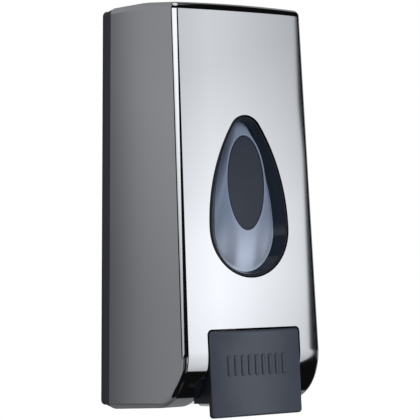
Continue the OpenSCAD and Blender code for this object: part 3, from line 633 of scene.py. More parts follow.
class Wire:
    """A node's output that Python's operators work on."""

    def __init__(self, tree, socket):
        self.tree, self.socket = tree, socket

    def math(self, operation, *values):
        node = self.tree.nodes.new("ShaderNodeMath")
        node.operation = operation
        for socket, value in zip(node.inputs, values):
            connect(self.tree, socket, value)
        return Wire(self.tree, node.outputs[0])

    def __add__(self, other):
        return self.math("ADD", self, other)

    def __sub__(self, other):
        return self.math("SUBTRACT", self, other)

    def __rsub__(self, other):
        return self.math("SUBTRACT", other, self)

    def __mul__(self, other):
        return self.math("MULTIPLY", self, other)

    def __truediv__(self, other):
        return self.math("DIVIDE", self, other)

    def __abs__(self):
        return self.math("ABSOLUTE", self)

    __radd__ = __add__
    __rmul__ = __mul__


class Nodes:
    """A node tree that is written as calls: each call adds a node and gives its outputs."""

    def __init__(self, tree):
        self.tree = tree

    def add(self, kind, values=None, **settings):
        """Adds a node, sets what it is, then the values or wires of its sockets, by name or place."""
        node = self.tree.nodes.new(kind)
        for key, value in settings.items():
            setattr(node, key, value)
        for key, value in (values or {}).items():
            connect(self.tree, node.inputs[key], value)
        return node

    def out(self, kind, values=None, output=0, **settings):
        """Adds a node and gives one output as a wire."""
        return Wire(self.tree, self.add(kind, values, **settings).outputs[output])

    def vector(self, **parts):
        """A vector from its parts x, y and z."""
        return self.out("ShaderNodeCombineXYZ", {key.upper(): value for key, value in parts.items()})

    def step(self, value, low, high):
        """A smooth rise from 0 at low to 1 at high."""
        values = {"Value": value, "From Min": low, "From Max": high}
        return self.out("ShaderNodeMapRange", values, interpolation_type="SMOOTHSTEP")


class Finish(Nodes):
    """A material with one surface shader, whose sockets are set by name."""

    def __init__(self, name, **values):
        self.material = bpy.data.materials.new(name)
        self.material.use_nodes = True
        super().__init__(self.material.node_tree)
        self.tree.nodes.clear()
        self.surface = self.add("ShaderNodeBsdfPrincipled")
        self.output = self.add("ShaderNodeOutputMaterial", {"Surface": self.wire(self.surface)})
        self.place = self.out("ShaderNodeTexCoord", output=3)
        self.set(**values)

    def wire(self, node, output=0):
        return Wire(self.tree, node.outputs[output])

    def set(self, **values):
        """Sets the shader's sockets; an underscore stands for a space."""
        for key, value in values.items():
            name = " ".join("IOR" if w == "ior" else w.capitalize() for w in key.split("_"))
            connect(self.tree, self.surface.inputs[name], value)

    def noise(self, scale, detail=3.0, rough=0.5, place=None):
        values = {"Vector": place or self.place, "Scale": scale, "Detail": detail, "Roughness": rough}
        return self.out("ShaderNodeTexNoise", values)

    def stretched(self, x, y, z):
        """The place with each axis scaled."""
        return self.out("ShaderNodeMapping", {"Vector": self.place, "Scale": (x, y, z)})

    def axis(self, index):
        return self.out("ShaderNodeSeparateXYZ", {"Vector": self.place}, index)

    def mix(self, share, a, b):
        """Colour a, turning into colour b as share goes to 1."""
        values = {0: share, 6: a, 7: b}
        return self.out("ShaderNodeMix", values, 2, data_type="RGBA")

    def bump(self, height, distance, strength=0.5):
        """Roughens the surface by a height, and gives the material."""
        values = {"Height": height, "Distance": distance, "Strength": strength}
        self.set(normal=self.out("ShaderNodeBump", values))
        return self.material


def shade(colour, share):
    """A colour made darker or lighter, with its alpha."""
    return tuple(min(1, c * share) for c in colour) + (1.0,)


def plastic(name, colour, rough, **values):
    """Plastic with flow marks in its colour and handling marks in its gloss, and its colour and grain."""
    f = Finish(name, **values)
    flow, grain, marks = f.noise(38.0, 4.0, 0.55), f.noise(2600.0, 2.0, 0.6), f.noise(210.0, 3.0, 0.6)
    body = f.mix(flow, shade(colour, 0.9), shade(colour, 1.1))
    f.set(base_color=body, roughness=rough + 0.12 * (marks - 0.5) + 0.06 * (grain - 0.5))
    return f, body, grain


def moulded(name, colour, rough, depth=0.02):
    """Moulded plastic with a fine spark-eroded grain, whose depth is in millimetres."""
    f, _, grain = plastic(name, colour, rough)
    return f.bump(grain, depth * MM)


# The lever's painted shade: where it darkens the sides and skirts behind the face; the face's grain; and the
# radius of the face's seeming crown
PAINTED_SHADE_EDGE, FACE_GRAIN, CROWN_R = (0.15 * MM, 1.1 * MM), 0.03 * MM, 220 * MM


def lever_with_painted_shade(colour, lean, front):
    """Black plastic with a satin face, which seems crowned; painted shade darkens its sides and skirts behind
    the face.
    """
    f, own_colour, grain = plastic("charcoal_lever", colour, 0.24, specular_ior_level=0.75)
    behind = math.cos(lean) * f.axis(1) - math.sin(lean) * f.axis(2) - front
    # Painted shade: behind the face, on the sides and skirts, the colour falls to 0.18 of itself
    f.set(base_color=f.mix(f.step(behind, *PAINTED_SHADE_EDGE), own_colour, shade(colour, 0.18)))
    across = f.axis(0)
    return f.bump(grain - across * across * (1.0 / (CROWN_R * FACE_GRAIN)), FACE_GRAIN)


def plating(colour):
    """Bright plating: a mirror with faint smears."""
    f = Finish("dark_plating", metallic=1.0)
    smear = f.noise(26.0, 3.0, 0.6, f.stretched(1.0, 1.0, 0.35))
    fine = f.noise(800.0, 2.0)
    f.set(
        base_color=f.mix(smear, shade(colour, 0.97), shade(colour, 1.02)),
        roughness=0.035 + 0.02 * smear + 0.008 * fine,
    )
    return f.material


def metal(name, colour, rough, drawn=(1.0, 1.0, 1.0)):
    """Bare steel with fine drawing lines and spots of wear."""
    f = Finish(name, metallic=1.0)
    lines = f.noise(2400.0, 2.0, 0.6, f.stretched(*drawn))
    wear = f.noise(160.0, 3.0)
    f.set(
        base_color=f.mix(wear, shade(colour, 0.82), shade(colour, 1.1)),
        roughness=rough + 0.14 * (lines - 0.5) + 0.08 * (wear - 0.5),
    )
    return f.bump(lines, 0.004 * MM)


def rubber(name, colour):
    """Moulded seal with a dull bloom."""
    f = Finish(name)
    bloom = f.noise(340.0, 4.0, 0.65)
    f.set(
        base_color=f.mix(bloom, shade(colour, 0.8), shade(colour, 1.6)),
        roughness=0.62 + 0.2 * (bloom - 0.5),
    )
    return f.bump(f.noise(3000.0, 2.0), 0.02 * MM, 0.6)


def natural_plastic(name, colour):
    """Unpigmented blow-moulded plastic: cloudy, a little see-through, softly glossy."""
    f = Finish(name, transmission_weight=0.55, ior=1.48)
    cloud = f.noise(45.0, 4.0, 0.6)
    f.set(
        base_color=f.mix(cloud, shade(colour, 0.93), shade(colour, 1.05)),
        roughness=0.34 + 0.12 * (cloud - 0.5),
    )
    return f.bump(f.noise(120.0, 3.0), 0.05 * MM)


def tinted_window_with_painted_reflection(colours):
    """Smoked window: a dark glossy rim and slopes, and a tinted floor that pales towards its lower end as a
    painted reflection.
    """
    f = Finish("smoked_window", ior=1.5, specular_ior_level=0.25)
    zone = f.out("ShaderNodeAttribute", output=2, attribute_name="floor")
    slope, floor = f.step(zone, 0.1, 0.4), f.step(zone, 0.6, 0.9)
    edge = f.mix(slope, shade(colours.dish_dark, 0.25), shade(colours.dish_dark, 1.0))
    cloud = f.noise(55.0, 3.0)
    # Painted reflection: the floor's colour pales towards its lower end, standing in for the bright light it
    # reflects there
    low = 1.0 - f.step(f.axis(2) + 0.006 * (cloud - 0.5), -0.028, 0.0)
    body = f.mix(low, shade(colours.dish, 1.0), shade(colours.dish_low_painted_light, 1.0))
    f.set(
        base_color=f.mix(floor, edge, body),
        metallic=floor * (0.15 + 0.45 * low),
        roughness=0.07 + 0.04 * f.noise(300.0) + 0.08 * floor,
    )
    return f.material


def smoked_glass(colour):
    """Smoked sight glass, polished, with a faint haze."""
    f = Finish("smoked_sight", ior=1.5)
    haze = f.noise(70.0, 3.0)
    f.set(base_color=f.mix(haze, shade(colour, 0.75), shade(colour, 1.3)), roughness=0.05 + 0.05 * haze)
    return f.material


# Node trees for what repeats


def shape_tree(name, *inputs):
    """A geometry tree with named inputs (a count is a whole number); gives its nodes and input wires."""
    tree = bpy.data.node_groups.new(name, "GeometryNodeTree")
    tree.interface.new_socket("Geometry", in_out="OUTPUT", socket_type="NodeSocketGeometry")
    for label in inputs:
        kind = "NodeSocketInt" if label == "Count" else "NodeSocketFloat"
        tree.interface.new_socket(label, in_out="INPUT", socket_type=kind)
    nodes = Nodes(tree)
    entry = nodes.add("NodeGroupInput")
    return nodes, [Wire(tree, entry.outputs[label]) for label in inputs]


def shape_end(nodes, geometry, finish):
    """Ends a geometry tree: real copies, with their material."""
    real = nodes.out("GeometryNodeRealizeInstances", {"Geometry": geometry})
    even = nodes.out("GeometryNodeSetShadeSmooth", {"Geometry": real})
    painted = nodes.out("GeometryNodeSetMaterial", {"Geometry": even, "Material": finish})
    nodes.add("NodeGroupOutput", {"Geometry": painted})
    return nodes


def grown(name, nodes, values):
    """A plain mesh object from a geometry tree and the values of its named inputs."""
    made = link(name, bpy.data.meshes.new(name))
    change = made.modifiers.new(name, "NODES")
    change.node_group = nodes.tree
    for item in nodes.tree.interface.items_tree:
        if item.in_out == "INPUT" and item.name in values:
            change[item.identifier] = values[item.name]
    return baked(made)


def rounded_bar(nodes, across, out, along):
    """A bar with rounded edges, centred on the origin."""
    values = {"Size": nodes.vector(x=across, y=out, z=along), "Vertices Z": 4}
    box = nodes.out("GeometryNodeMeshCube", values)
    return nodes.out("GeometryNodeSubdivisionSurface", {"Mesh": box, "Level": 3, "Edge Crease": 0.35})


def rib_row(finish):
    """Tree for a row of upright ribs along X."""
    nodes, wires = shape_tree("grip_ribs", "Count", "Step", "Width", "Thickness", "Length")
    count, step, *bar = wires
    start = nodes.vector(x=(count - 1.0) * step * -0.5)
    values = {"Count": count, "Start Location": start, "Offset": nodes.vector(x=step)}
    values = {"Points": nodes.out("GeometryNodeMeshLine", values), "Instance": rounded_bar(nodes, *bar)}
    return shape_end(nodes, nodes.out("GeometryNodeInstanceOnPoints", values), finish)


def rib_ring(finish):
    """Tree for ribs round a cap, along Z."""
    nodes, wires = shape_tree("cap_ribs", "Count", "Radius", "Thickness", "Width", "Length")
    count, radius, *bar = wires
    index = nodes.out("GeometryNodeInputIndex")
    values = {
        "Points": nodes.out("GeometryNodeMeshCircle", {"Vertices": count, "Radius": radius}),
        "Instance": rounded_bar(nodes, *bar),
        "Rotation": nodes.vector(z=index * (2 * math.pi) / count),
    }
    return shape_end(nodes, nodes.out("GeometryNodeInstanceOnPoints", values), finish)


def coil(finish):
    """Tree for a wire wound along Z."""
    nodes, wires = shape_tree("coil", "Turns", "Coil Radius", "Length", "Wire Radius")
    turns, coil_r, length, wire_r = wires
    values = {"Resolution": 40, "Rotations": turns, "Height": length}
    spiral = nodes.out("GeometryNodeCurveSpiral", {**values, "Start Radius": coil_r, "End Radius": coil_r})
    section = nodes.out("GeometryNodeCurvePrimitiveCircle", {"Resolution": 14, "Radius": wire_r})
    values = {"Curve": spiral, "Profile Curve": section, "Fill Caps": True}
    return shape_end(nodes, nodes.out("GeometryNodeCurveToMesh", values), finish)


# Operators


class MakeCover(bpy.types.Operator):
    """Makes the plated cover with its window opening, lever slot, hinge knuckles, posts and pivot lugs"""

    bl_idname = "dispenser.cover"
    bl_label = "Plated cover"

    OUTER_OVERHANG, INNER_OVERHANG = 4 * MM, 7 * MM
    KNUCKLE_LESS, LUG_BITE, CORNER_STEPS = 0.2 * MM, 0.3 * MM, 14

    def execute(self, context):
        scene = context.scene
        s, w, v = scene.dispenser_cover, scene.dispenser_window, scene.dispenser_lever
        outer = Skin(s, 0.0, self.OUTER_OVERHANG)
        inner = Skin(s, s.wall, self.INNER_OVERHANG)
        shell = combine(outer.solid("cover"), [inner.solid("hollow")], "DIFFERENCE")
        far, wide = s.height, s.rear_bottom
        hinge_d = s.rear + s.hinge_r
        lever_top = v.height - s.height / 2 - v.low
        curve_top = -s.height / 2 + s.bottom_r + math.tan(s.bottom_rise) * s.depth
        slot_w, bolt_w = v.width + 2 * SLOT_GAP, BOLT_W / 2 + GAP
        slot = rounded_rectangle(slot_w, far, LEVER_R + SLOT_GAP, lever_top + SLOT_GAP - far / 2)
        cuts = [
            block("rear", -wide, wide, -far, s.rear, -far, far),
            self.hinge_corner(s),
            panel("opening", teardrop(0.0), -s.depth / 2, FLANGE_Y + PAST),
            panel("slot", slot, -s.depth / 2, s.wall + PAST),
            block("slot", -slot_w / 2, slot_w / 2, SLOT_REAR, far, -far, curve_top),
            block("latch", -bolt_w, bolt_w, BOLT_D - GAP, BOLT_D + BOLT_T + GAP, BOLT_TOP, far),
        ]
        added, holes = post_rods(POST_R, (s.wall - s.bulge) / 2, FLANGE_Y + w.floor_t + POST_L), []
        lug_end, knuckle_x = LUG_X - LUG_W / 2 - GAP, LUG_X + LUG_W / 2 + GAP
        knuckle_end, pivot_end = knuckle_x + KNUCKLE_W, PIVOT_X + PIVOT_T
        for sign in (-1, 1):
            ends = sorted((sign * lug_end, sign * knuckle_x))
            reach, high = hinge_d + s.hinge_r + PAST, HINGE_Z + s.hinge_r + GAP
            cuts.append(block("notch", *ends, -far, reach, -far, high))
            ends = [(sign * x, -hinge_d, HINGE_Z) for x in (knuckle_x, knuckle_end)]
            added += [rod("knuckle", s.hinge_r - self.KNUCKLE_LESS, *ends), self.pivot_lug(s, sign)]
            ends = [(sign * x, -hinge_d, HINGE_Z) for x in (knuckle_x - PAST, knuckle_end + PAST)]
            holes.append(rod("hole", HINGE_PIN_R + RUN, *ends))
            ends = [(sign * x, -PIVOT_D, PIVOT_Z) for x in (PIVOT_X - PAST, pivot_end + PAST)]
            holes.append(rod("hole", PIN_R + RUN, *ends))
        combine(shell, cuts, "DIFFERENCE")
        combine(shell, added, "UNION")
        combine(shell, holes, "DIFFERENCE")
        skin_normals(shell, [(outer, 1), (inner, -1)])
        place(shell, "front_cover", plating(scene.dispenser_finish.plating), "plated_cover")
        return {"FINISHED"}

    def hinge_corner(self, s):
        """What is cut off outside the rounded lower rear edge."""
        hinge_d, start, low = s.rear + s.hinge_r, s.rear - PAST, HINGE_Z - 2 * s.hinge_r
        outline = [(start, HINGE_Z)]
        for k in range(self.CORNER_STEPS + 1):
            a = math.pi + (math.pi / 2 + s.bottom_rise) * k / self.CORNER_STEPS
            outline.append((hinge_d + s.hinge_r * math.cos(a), HINGE_Z + s.hinge_r * math.sin(a)))
        outline += [(outline[-1][0], low), (start, low)]
        return loft("corner", [[(x, -d, z) for d, z in outline] for x in (-s.rear_bottom, s.rear_bottom)])

    def pivot_lug(self, s, sign):
        """Lug behind the front face that carries one end of the lever's pin."""
        ends, low, high = [sign * PIVOT_X, sign * (PIVOT_X + PIVOT_T)], PIVOT_Z - EYE_R, PIVOT_Z + EYE_R
        reach = [s.depth - math.tan(s.lean) * z - self.LUG_BITE for z in (low, high)]
        outline = [(PIVOT_D, low), (reach[0], low), (reach[1], high), (PIVOT_D, high)]
        arm = loft("lug", [[(x, -d, z) for d, z in outline] for x in ends])
        eye = rod("eye", EYE_R, *[(x, -PIVOT_D, PIVOT_Z) for x in ends])
        return combine(arm, [eye], "UNION")


class MakeWindow(bpy.types.Operator):
    """Makes the smoked teardrop dish and the oval sight glass in its swelling floor"""

    bl_idname = "dispenser.window"
    bl_label = "Teardrop window"

    LIP, BEND, CORNER = 0.5 * MM, 0.5 * MM, 0.35 * MM
    OVAL_RIM, OVAL_LIP = 0.8 * MM, 0.15 * MM
    GLASS_LIP, GLASS_LIP_T, GLASS_EDGE, GLASS_DOME = 2 * MM, 1 * MM, 0.2 * MM, 0.2 * MM
    FOOT, FLOOR_STEPS, EDGE_STEPS, OVAL_STEPS = 0.15 * MM, 14, 5, 120
    SLOPE_START, SLOPE_END = 0.02, 0.985
    DOME_SHARES = 0.02, 0.2, 0.4, 0.6, 0.8, 0.92

    def execute(self, context):
        s, w = context.scene.dispenser_cover, context.scene.dispenser_window
        colours = context.scene.dispenser_finish
        rim_y = RIM_DROP - s.bulge
        floor_y = rim_y + w.depth
        flange_back = FLANGE_Y + w.floor_t
        back = max(floor_y + w.floor_t, flange_back)
        self.dish(w, rim_y, flange_back, back, tinted_window_with_painted_reflection(colours))
        self.glass(w, floor_y - w.rise, back, smoked_glass(colours.sight))
        keep(rubber("window_seal", colours.rubber), "window_gasket")
        keep(metal("spring_clips", colours.steel, 0.34), "window_clips")
        return {"FINISHED"}

    def slope(self, w, rim_y):
        """Outlines from the dish's outer wall over its rim and down its slope, and each one's zone.

        The zone is 0 on the wall and the rim, a half on the slope and 1 on the floor.
        """
        foot = w.rim + w.slope
        corners = [(0, FLANGE_Y - rim_y), (0, 0), (w.rim, 0), (foot, w.depth), (foot + self.FOOT, w.depth)]
        line, _ = rounded_line(corners, (self.LIP, self.BEND, self.CORNER), (1, 2, 8, 1), (6, 4, 4))
        edge, low = np.array(teardrop(GAP + w.rim)), np.array(teardrop(GAP + w.rim + w.end))
        low[:, 0] *= (w.round_r - GAP - foot) / (w.round_r - GAP - w.rim - w.end)
        rings, zones = [], []
        for inset, depth in line:
            share = (inset - w.rim) / w.slope
            outline = np.array(teardrop(GAP + inset)) if share < 0 else edge + (low - edge) * share
            rings.append([(x, rim_y + depth, z) for x, z in outline])
            zones.append(0.0 if share < self.SLOPE_START else 0.5 if share < self.SLOPE_END else 1.0)
        return rings, zones

    def floor(self, w, last, floor_y):
        """Outlines of the floor, which swells from the slope's foot to the oval, and a maker of ovals."""
        edge = np.array([(x, z) for x, _, z in last])
        a, b = w.oval_w / 2, w.oval_h / 2
        angle = np.arctan2((edge[:, 1] - w.oval_z) / b, edge[:, 0] / a)

        def oval(grow, y):
            turns = zip(np.cos(angle), np.sin(angle))
            return [((a + grow) * c, y, w.oval_z + (b + grow) * s) for c, s in turns]

        rim, top = np.array(oval(self.OVAL_RIM, 0))[:, ::2], floor_y - w.rise
        rings = []
        for share in (k / self.FLOOR_STEPS for k in range(1, self.FLOOR_STEPS + 1)):
            y = floor_y - w.rise * share * (1.5 - 0.5 * share)
            rings.append([(x, y, z) for x, z in edge + (rim - edge) * share])
        return rings + [oval(self.OVAL_LIP, top), oval(0, top + self.OVAL_LIP)], oval

    def dish(self, w, rim_y, flange_back, back, finish):
        """The dish: a ring of outlines from its flange over its rim and floor and back behind it."""
        rings, zones = self.slope(w, rim_y)
        inside, oval = self.floor(w, rings[-1], rim_y + w.depth)
        rings = [[(x, FLANGE_Y, z) for x, z in teardrop(-w.flange)]] + rings + inside
        zones = [0.0] + zones + [1.0] * len(inside)
        rings.append(oval(0, back))
        for inset, y in ((GAP, back), (GAP, flange_back), (-w.flange, flange_back)):
            rings.append([(x, y, z) for x, z in teardrop(inset)])
        zones += [0.0] * (len(rings) - len(zones))
        made = loft("dish", [on_front(r) for r in rings], closed=True)
        mark = made.data.attributes.new("floor", "FLOAT", "POINT")
        mark.data.foreach_set("value", np.repeat(np.array(zones, np.float32), len(rings[0])))
        combine(made, post_rods(POST_R + GAP, FLANGE_Y - PAST, flange_back + PAST), "DIFFERENCE")
        place(smooth(made, 40), "window_dish", finish, "teardrop_dish")

    def glass(self, w, oval_y, back, finish):
        """Sight glass: a low dome with a rounded edge, and a lip behind the dish floor."""
        a, b = w.oval_w / 2 - GAP / 2, w.oval_h / 2 - GAP / 2
        front, behind, edge = oval_y + GAP / 3, back + GAP / 3, self.GLASS_EDGE
        rings = []
        for share in self.DOME_SHARES:
            rings.append((a * share, b * share, front - self.GLASS_DOME * (1 - share**2)))
        for k in range(self.EDGE_STEPS + 1):
            t = math.pi / 2 * k / self.EDGE_STEPS
            cut = edge * (1 - math.sin(t))
            rings.append((a - cut, b - cut, front + edge * (1 - math.cos(t))))
        lip = (a + self.GLASS_LIP, b + self.GLASS_LIP)
        rings += [(a, b, behind), (*lip, behind), (*lip, back + self.GLASS_LIP_T)]
        turns = [math.tau * k / self.OVAL_STEPS for k in range(self.OVAL_STEPS)]
        loops = [[(x * math.cos(t), y, w.oval_z + z * math.sin(t)) for t in turns] for x, z, y in rings]
        made = loft("sight", [on_front(r) for r in loops])
        place(smooth(made, 40), "sight_glass", finish, "oval_sight_glass")


class MakeLever(bpy.types.Operator):
    """Makes the push lever with its rounded face and raised grip ribs"""

    bl_idname = "dispenser.lever"
    bl_label = "Push lever"

    RIBS_DOWN = 18 * MM
    EDGE_STEPS, CLEAR, SIDE_CLEAR = 8, 0.01 * MM, 0.05 * MM
    EDGE_L, BACK_BITE, ASIDE, BEHIND = 0.3 * MM, 0.1 * MM, 25 * MM, 45 * MM

    def execute(self, context):
        s, v = context.scene.dispenser_cover, context.scene.dispenser_lever
        front = -math.cos(s.lean) * s.depth - v.proud
        finish = lever_with_painted_shade(context.scene.dispenser_finish.lever, s.lean, front)
        top = v.height - s.height / 2 - v.low
        made = combine(copied("push_lever"), [self.mould(v, top - v.height / 2)], "INTERSECT")
        values = {"Count": v.ribs, "Step": v.rib_step, "Width": v.rib_w, "Length": v.rib_l}
        values.update({"Thickness": 2 * v.rib_out})
        ribs = grown("ribs", rib_row(finish), values)
        co = np.array([p.co for p in ribs.data.vertices])
        co = on_front(co + np.array([0, -v.proud, top - self.RIBS_DOWN]))
        ribs.data.vertices.foreach_set("co", co.astype(np.float32).ravel())
        combine(made, [ribs], "UNION")
        place(smooth(made), "push_lever", finish, "push_lever_plate")
        return {"FINISHED"}

    def mould(self, v, middle):
        """Hollow of the lever's mould: it rounds the face's edge and leaves free what is behind the face."""
        line, behind = [], LEVER_BACK - self.BACK_BITE
        for k in range(self.EDGE_STEPS + 1):
            a = math.pi / 2 * k / self.EDGE_STEPS
            line.append((v.edge * (1 - math.sin(a)), self.CLEAR + v.edge * (1 - math.cos(a)) - v.proud))
        line += [(-self.SIDE_CLEAR, line[-1][1] + self.EDGE_L), (-self.SIDE_CLEAR, behind)]
        line += [(-self.ASIDE, behind), (-self.ASIDE, self.BEHIND)]
        rings = []
        for inset, y in line:
            outline = rounded_rectangle(v.width - 2 * inset, v.height - 2 * inset, LEVER_R - inset, middle)
            rings.append(on_front([(x, y, z) for x, z in outline]))
        return loft("mould", rings)


class MakePlate(bpy.types.Operator):
    """Makes the back plate with its hinge lugs, tank seat and bolt guide"""

    bl_idname = "dispenser.plate"
    bl_label = "Back plate"

    def execute(self, context):
        colour = context.scene.dispenser_finish.plate
        dress(moulded("dark_back_plate", colour, 0.4, 0.03), "_moulding", "back_plate")
        return {"FINISHED"}


class MakeTank(bpy.types.Operator):
    """Makes the soap tank, its lid and the lid's gasket"""

    bl_idname = "dispenser.tank"
    bl_label = "Soap tank"

    def execute(self, context):
        colours = context.scene.dispenser_finish
        natural = natural_plastic("natural_tank", colours.tank)
        place(softened("soap_tank", 3), "soap_tank", natural, "tank_moulding")
        place(softened("tank_lid"), "tank_lid", moulded("dark_lid", colours.lid, 0.4), "lid_moulding")
        keep(rubber("lid_seal", colours.rubber), "lid_gasket")
        return {"FINISHED"}


class MakePump(bpy.types.Operator):
    """Makes the pump under the tank: body, nut, valves, plunger, gland cap, nozzle and return spring"""

    bl_idname = "dispenser.pump"
    bl_label = "Pump"

    RIB_W, RIB_OUT, RIB_SHORT = 1.2 * MM, 0.8 * MM, 1.6 * MM

    def execute(self, context):
        scene = context.scene
        colours, s = scene.dispenser_finish, scene.dispenser_spring
        grey = moulded("pale_nut", colours.nut, 0.42, 0.03)
        steel = metal("drawn_steel", colours.steel, 0.3)
        dress(moulded("white_pump", colours.pump, 0.36), "_moulding", "pump_body", "plunger", "nozzle")
        dress(grey, "_moulding", "pump_nut")
        self.cap(s, grey)
        self.spring(s, steel)
        keep(rubber("pump_seal", colours.rubber), "inlet_washer", "piston_seal")
        keep(steel, "inlet_seat", "valve_ball")
        silicone = rubber("valve_silicone", colours.silicone)
        place(softened("outlet_valve"), "outlet_valve", silicone, "duckbill_valve")
        return {"FINISHED"}

    def cap(self, s, finish):
        """Gland cap with a ribbed grip."""
        low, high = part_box("gland_cap")
        values = {"Count": s.ribs, "Radius": (high.x - low.x) / 2, "Length": high.y - low.y - self.RIB_SHORT}
        values.update({"Width": self.RIB_W, "Thickness": self.RIB_OUT})
        ribs = self.laid(grown("cap_ribs", rib_ring(finish), values), (low.y + high.y) / 2)
        made = combine(softened("gland_cap"), [ribs], "UNION")
        place(smooth(made), "gland_cap", finish, "gland_cap_ribbed")

    def spring(self, s, finish):
        """Return spring round the plunger's rod."""
        low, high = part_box("return_spring")
        length = high.y - low.y - 2 * s.wire_r
        values = {"Turns": s.turns, "Coil Radius": s.coil_r, "Length": length, "Wire Radius": s.wire_r}
        made = self.laid(grown("spring", coil(finish), values), high.y - s.wire_r)
        place(made, "return_spring", finish, "return_spring_wire")
        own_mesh(made)

    def laid(self, made, y):
        """Lays what was made along Z on the pump's axis, at a place along it."""
        made.data.transform(Matrix.Translation((0, y, PUMP_Z)) @ Matrix.Rotation(math.pi / 2, 4, "X"))
        return made


class MakeHardware(bpy.types.Operator):
    """Makes the pins, clips and the lock bolt"""

    bl_idname = "dispenser.hardware"
    bl_label = "Pins and bolt"

    def execute(self, context):
        colour = context.scene.dispenser_finish.steel
        steel = metal("pin_steel", colour, 0.28, (0.05, 1.0, 1.0))
        dress(steel, "_turned", "hinge_pins", "lever_pin")
        keep(steel, "pin_clips")
        dress(metal("bolt_steel", colour, 0.36, (1.0, 1.0, 0.05)), "_stamped", "lock_bolt")
        return {"FINISHED"}


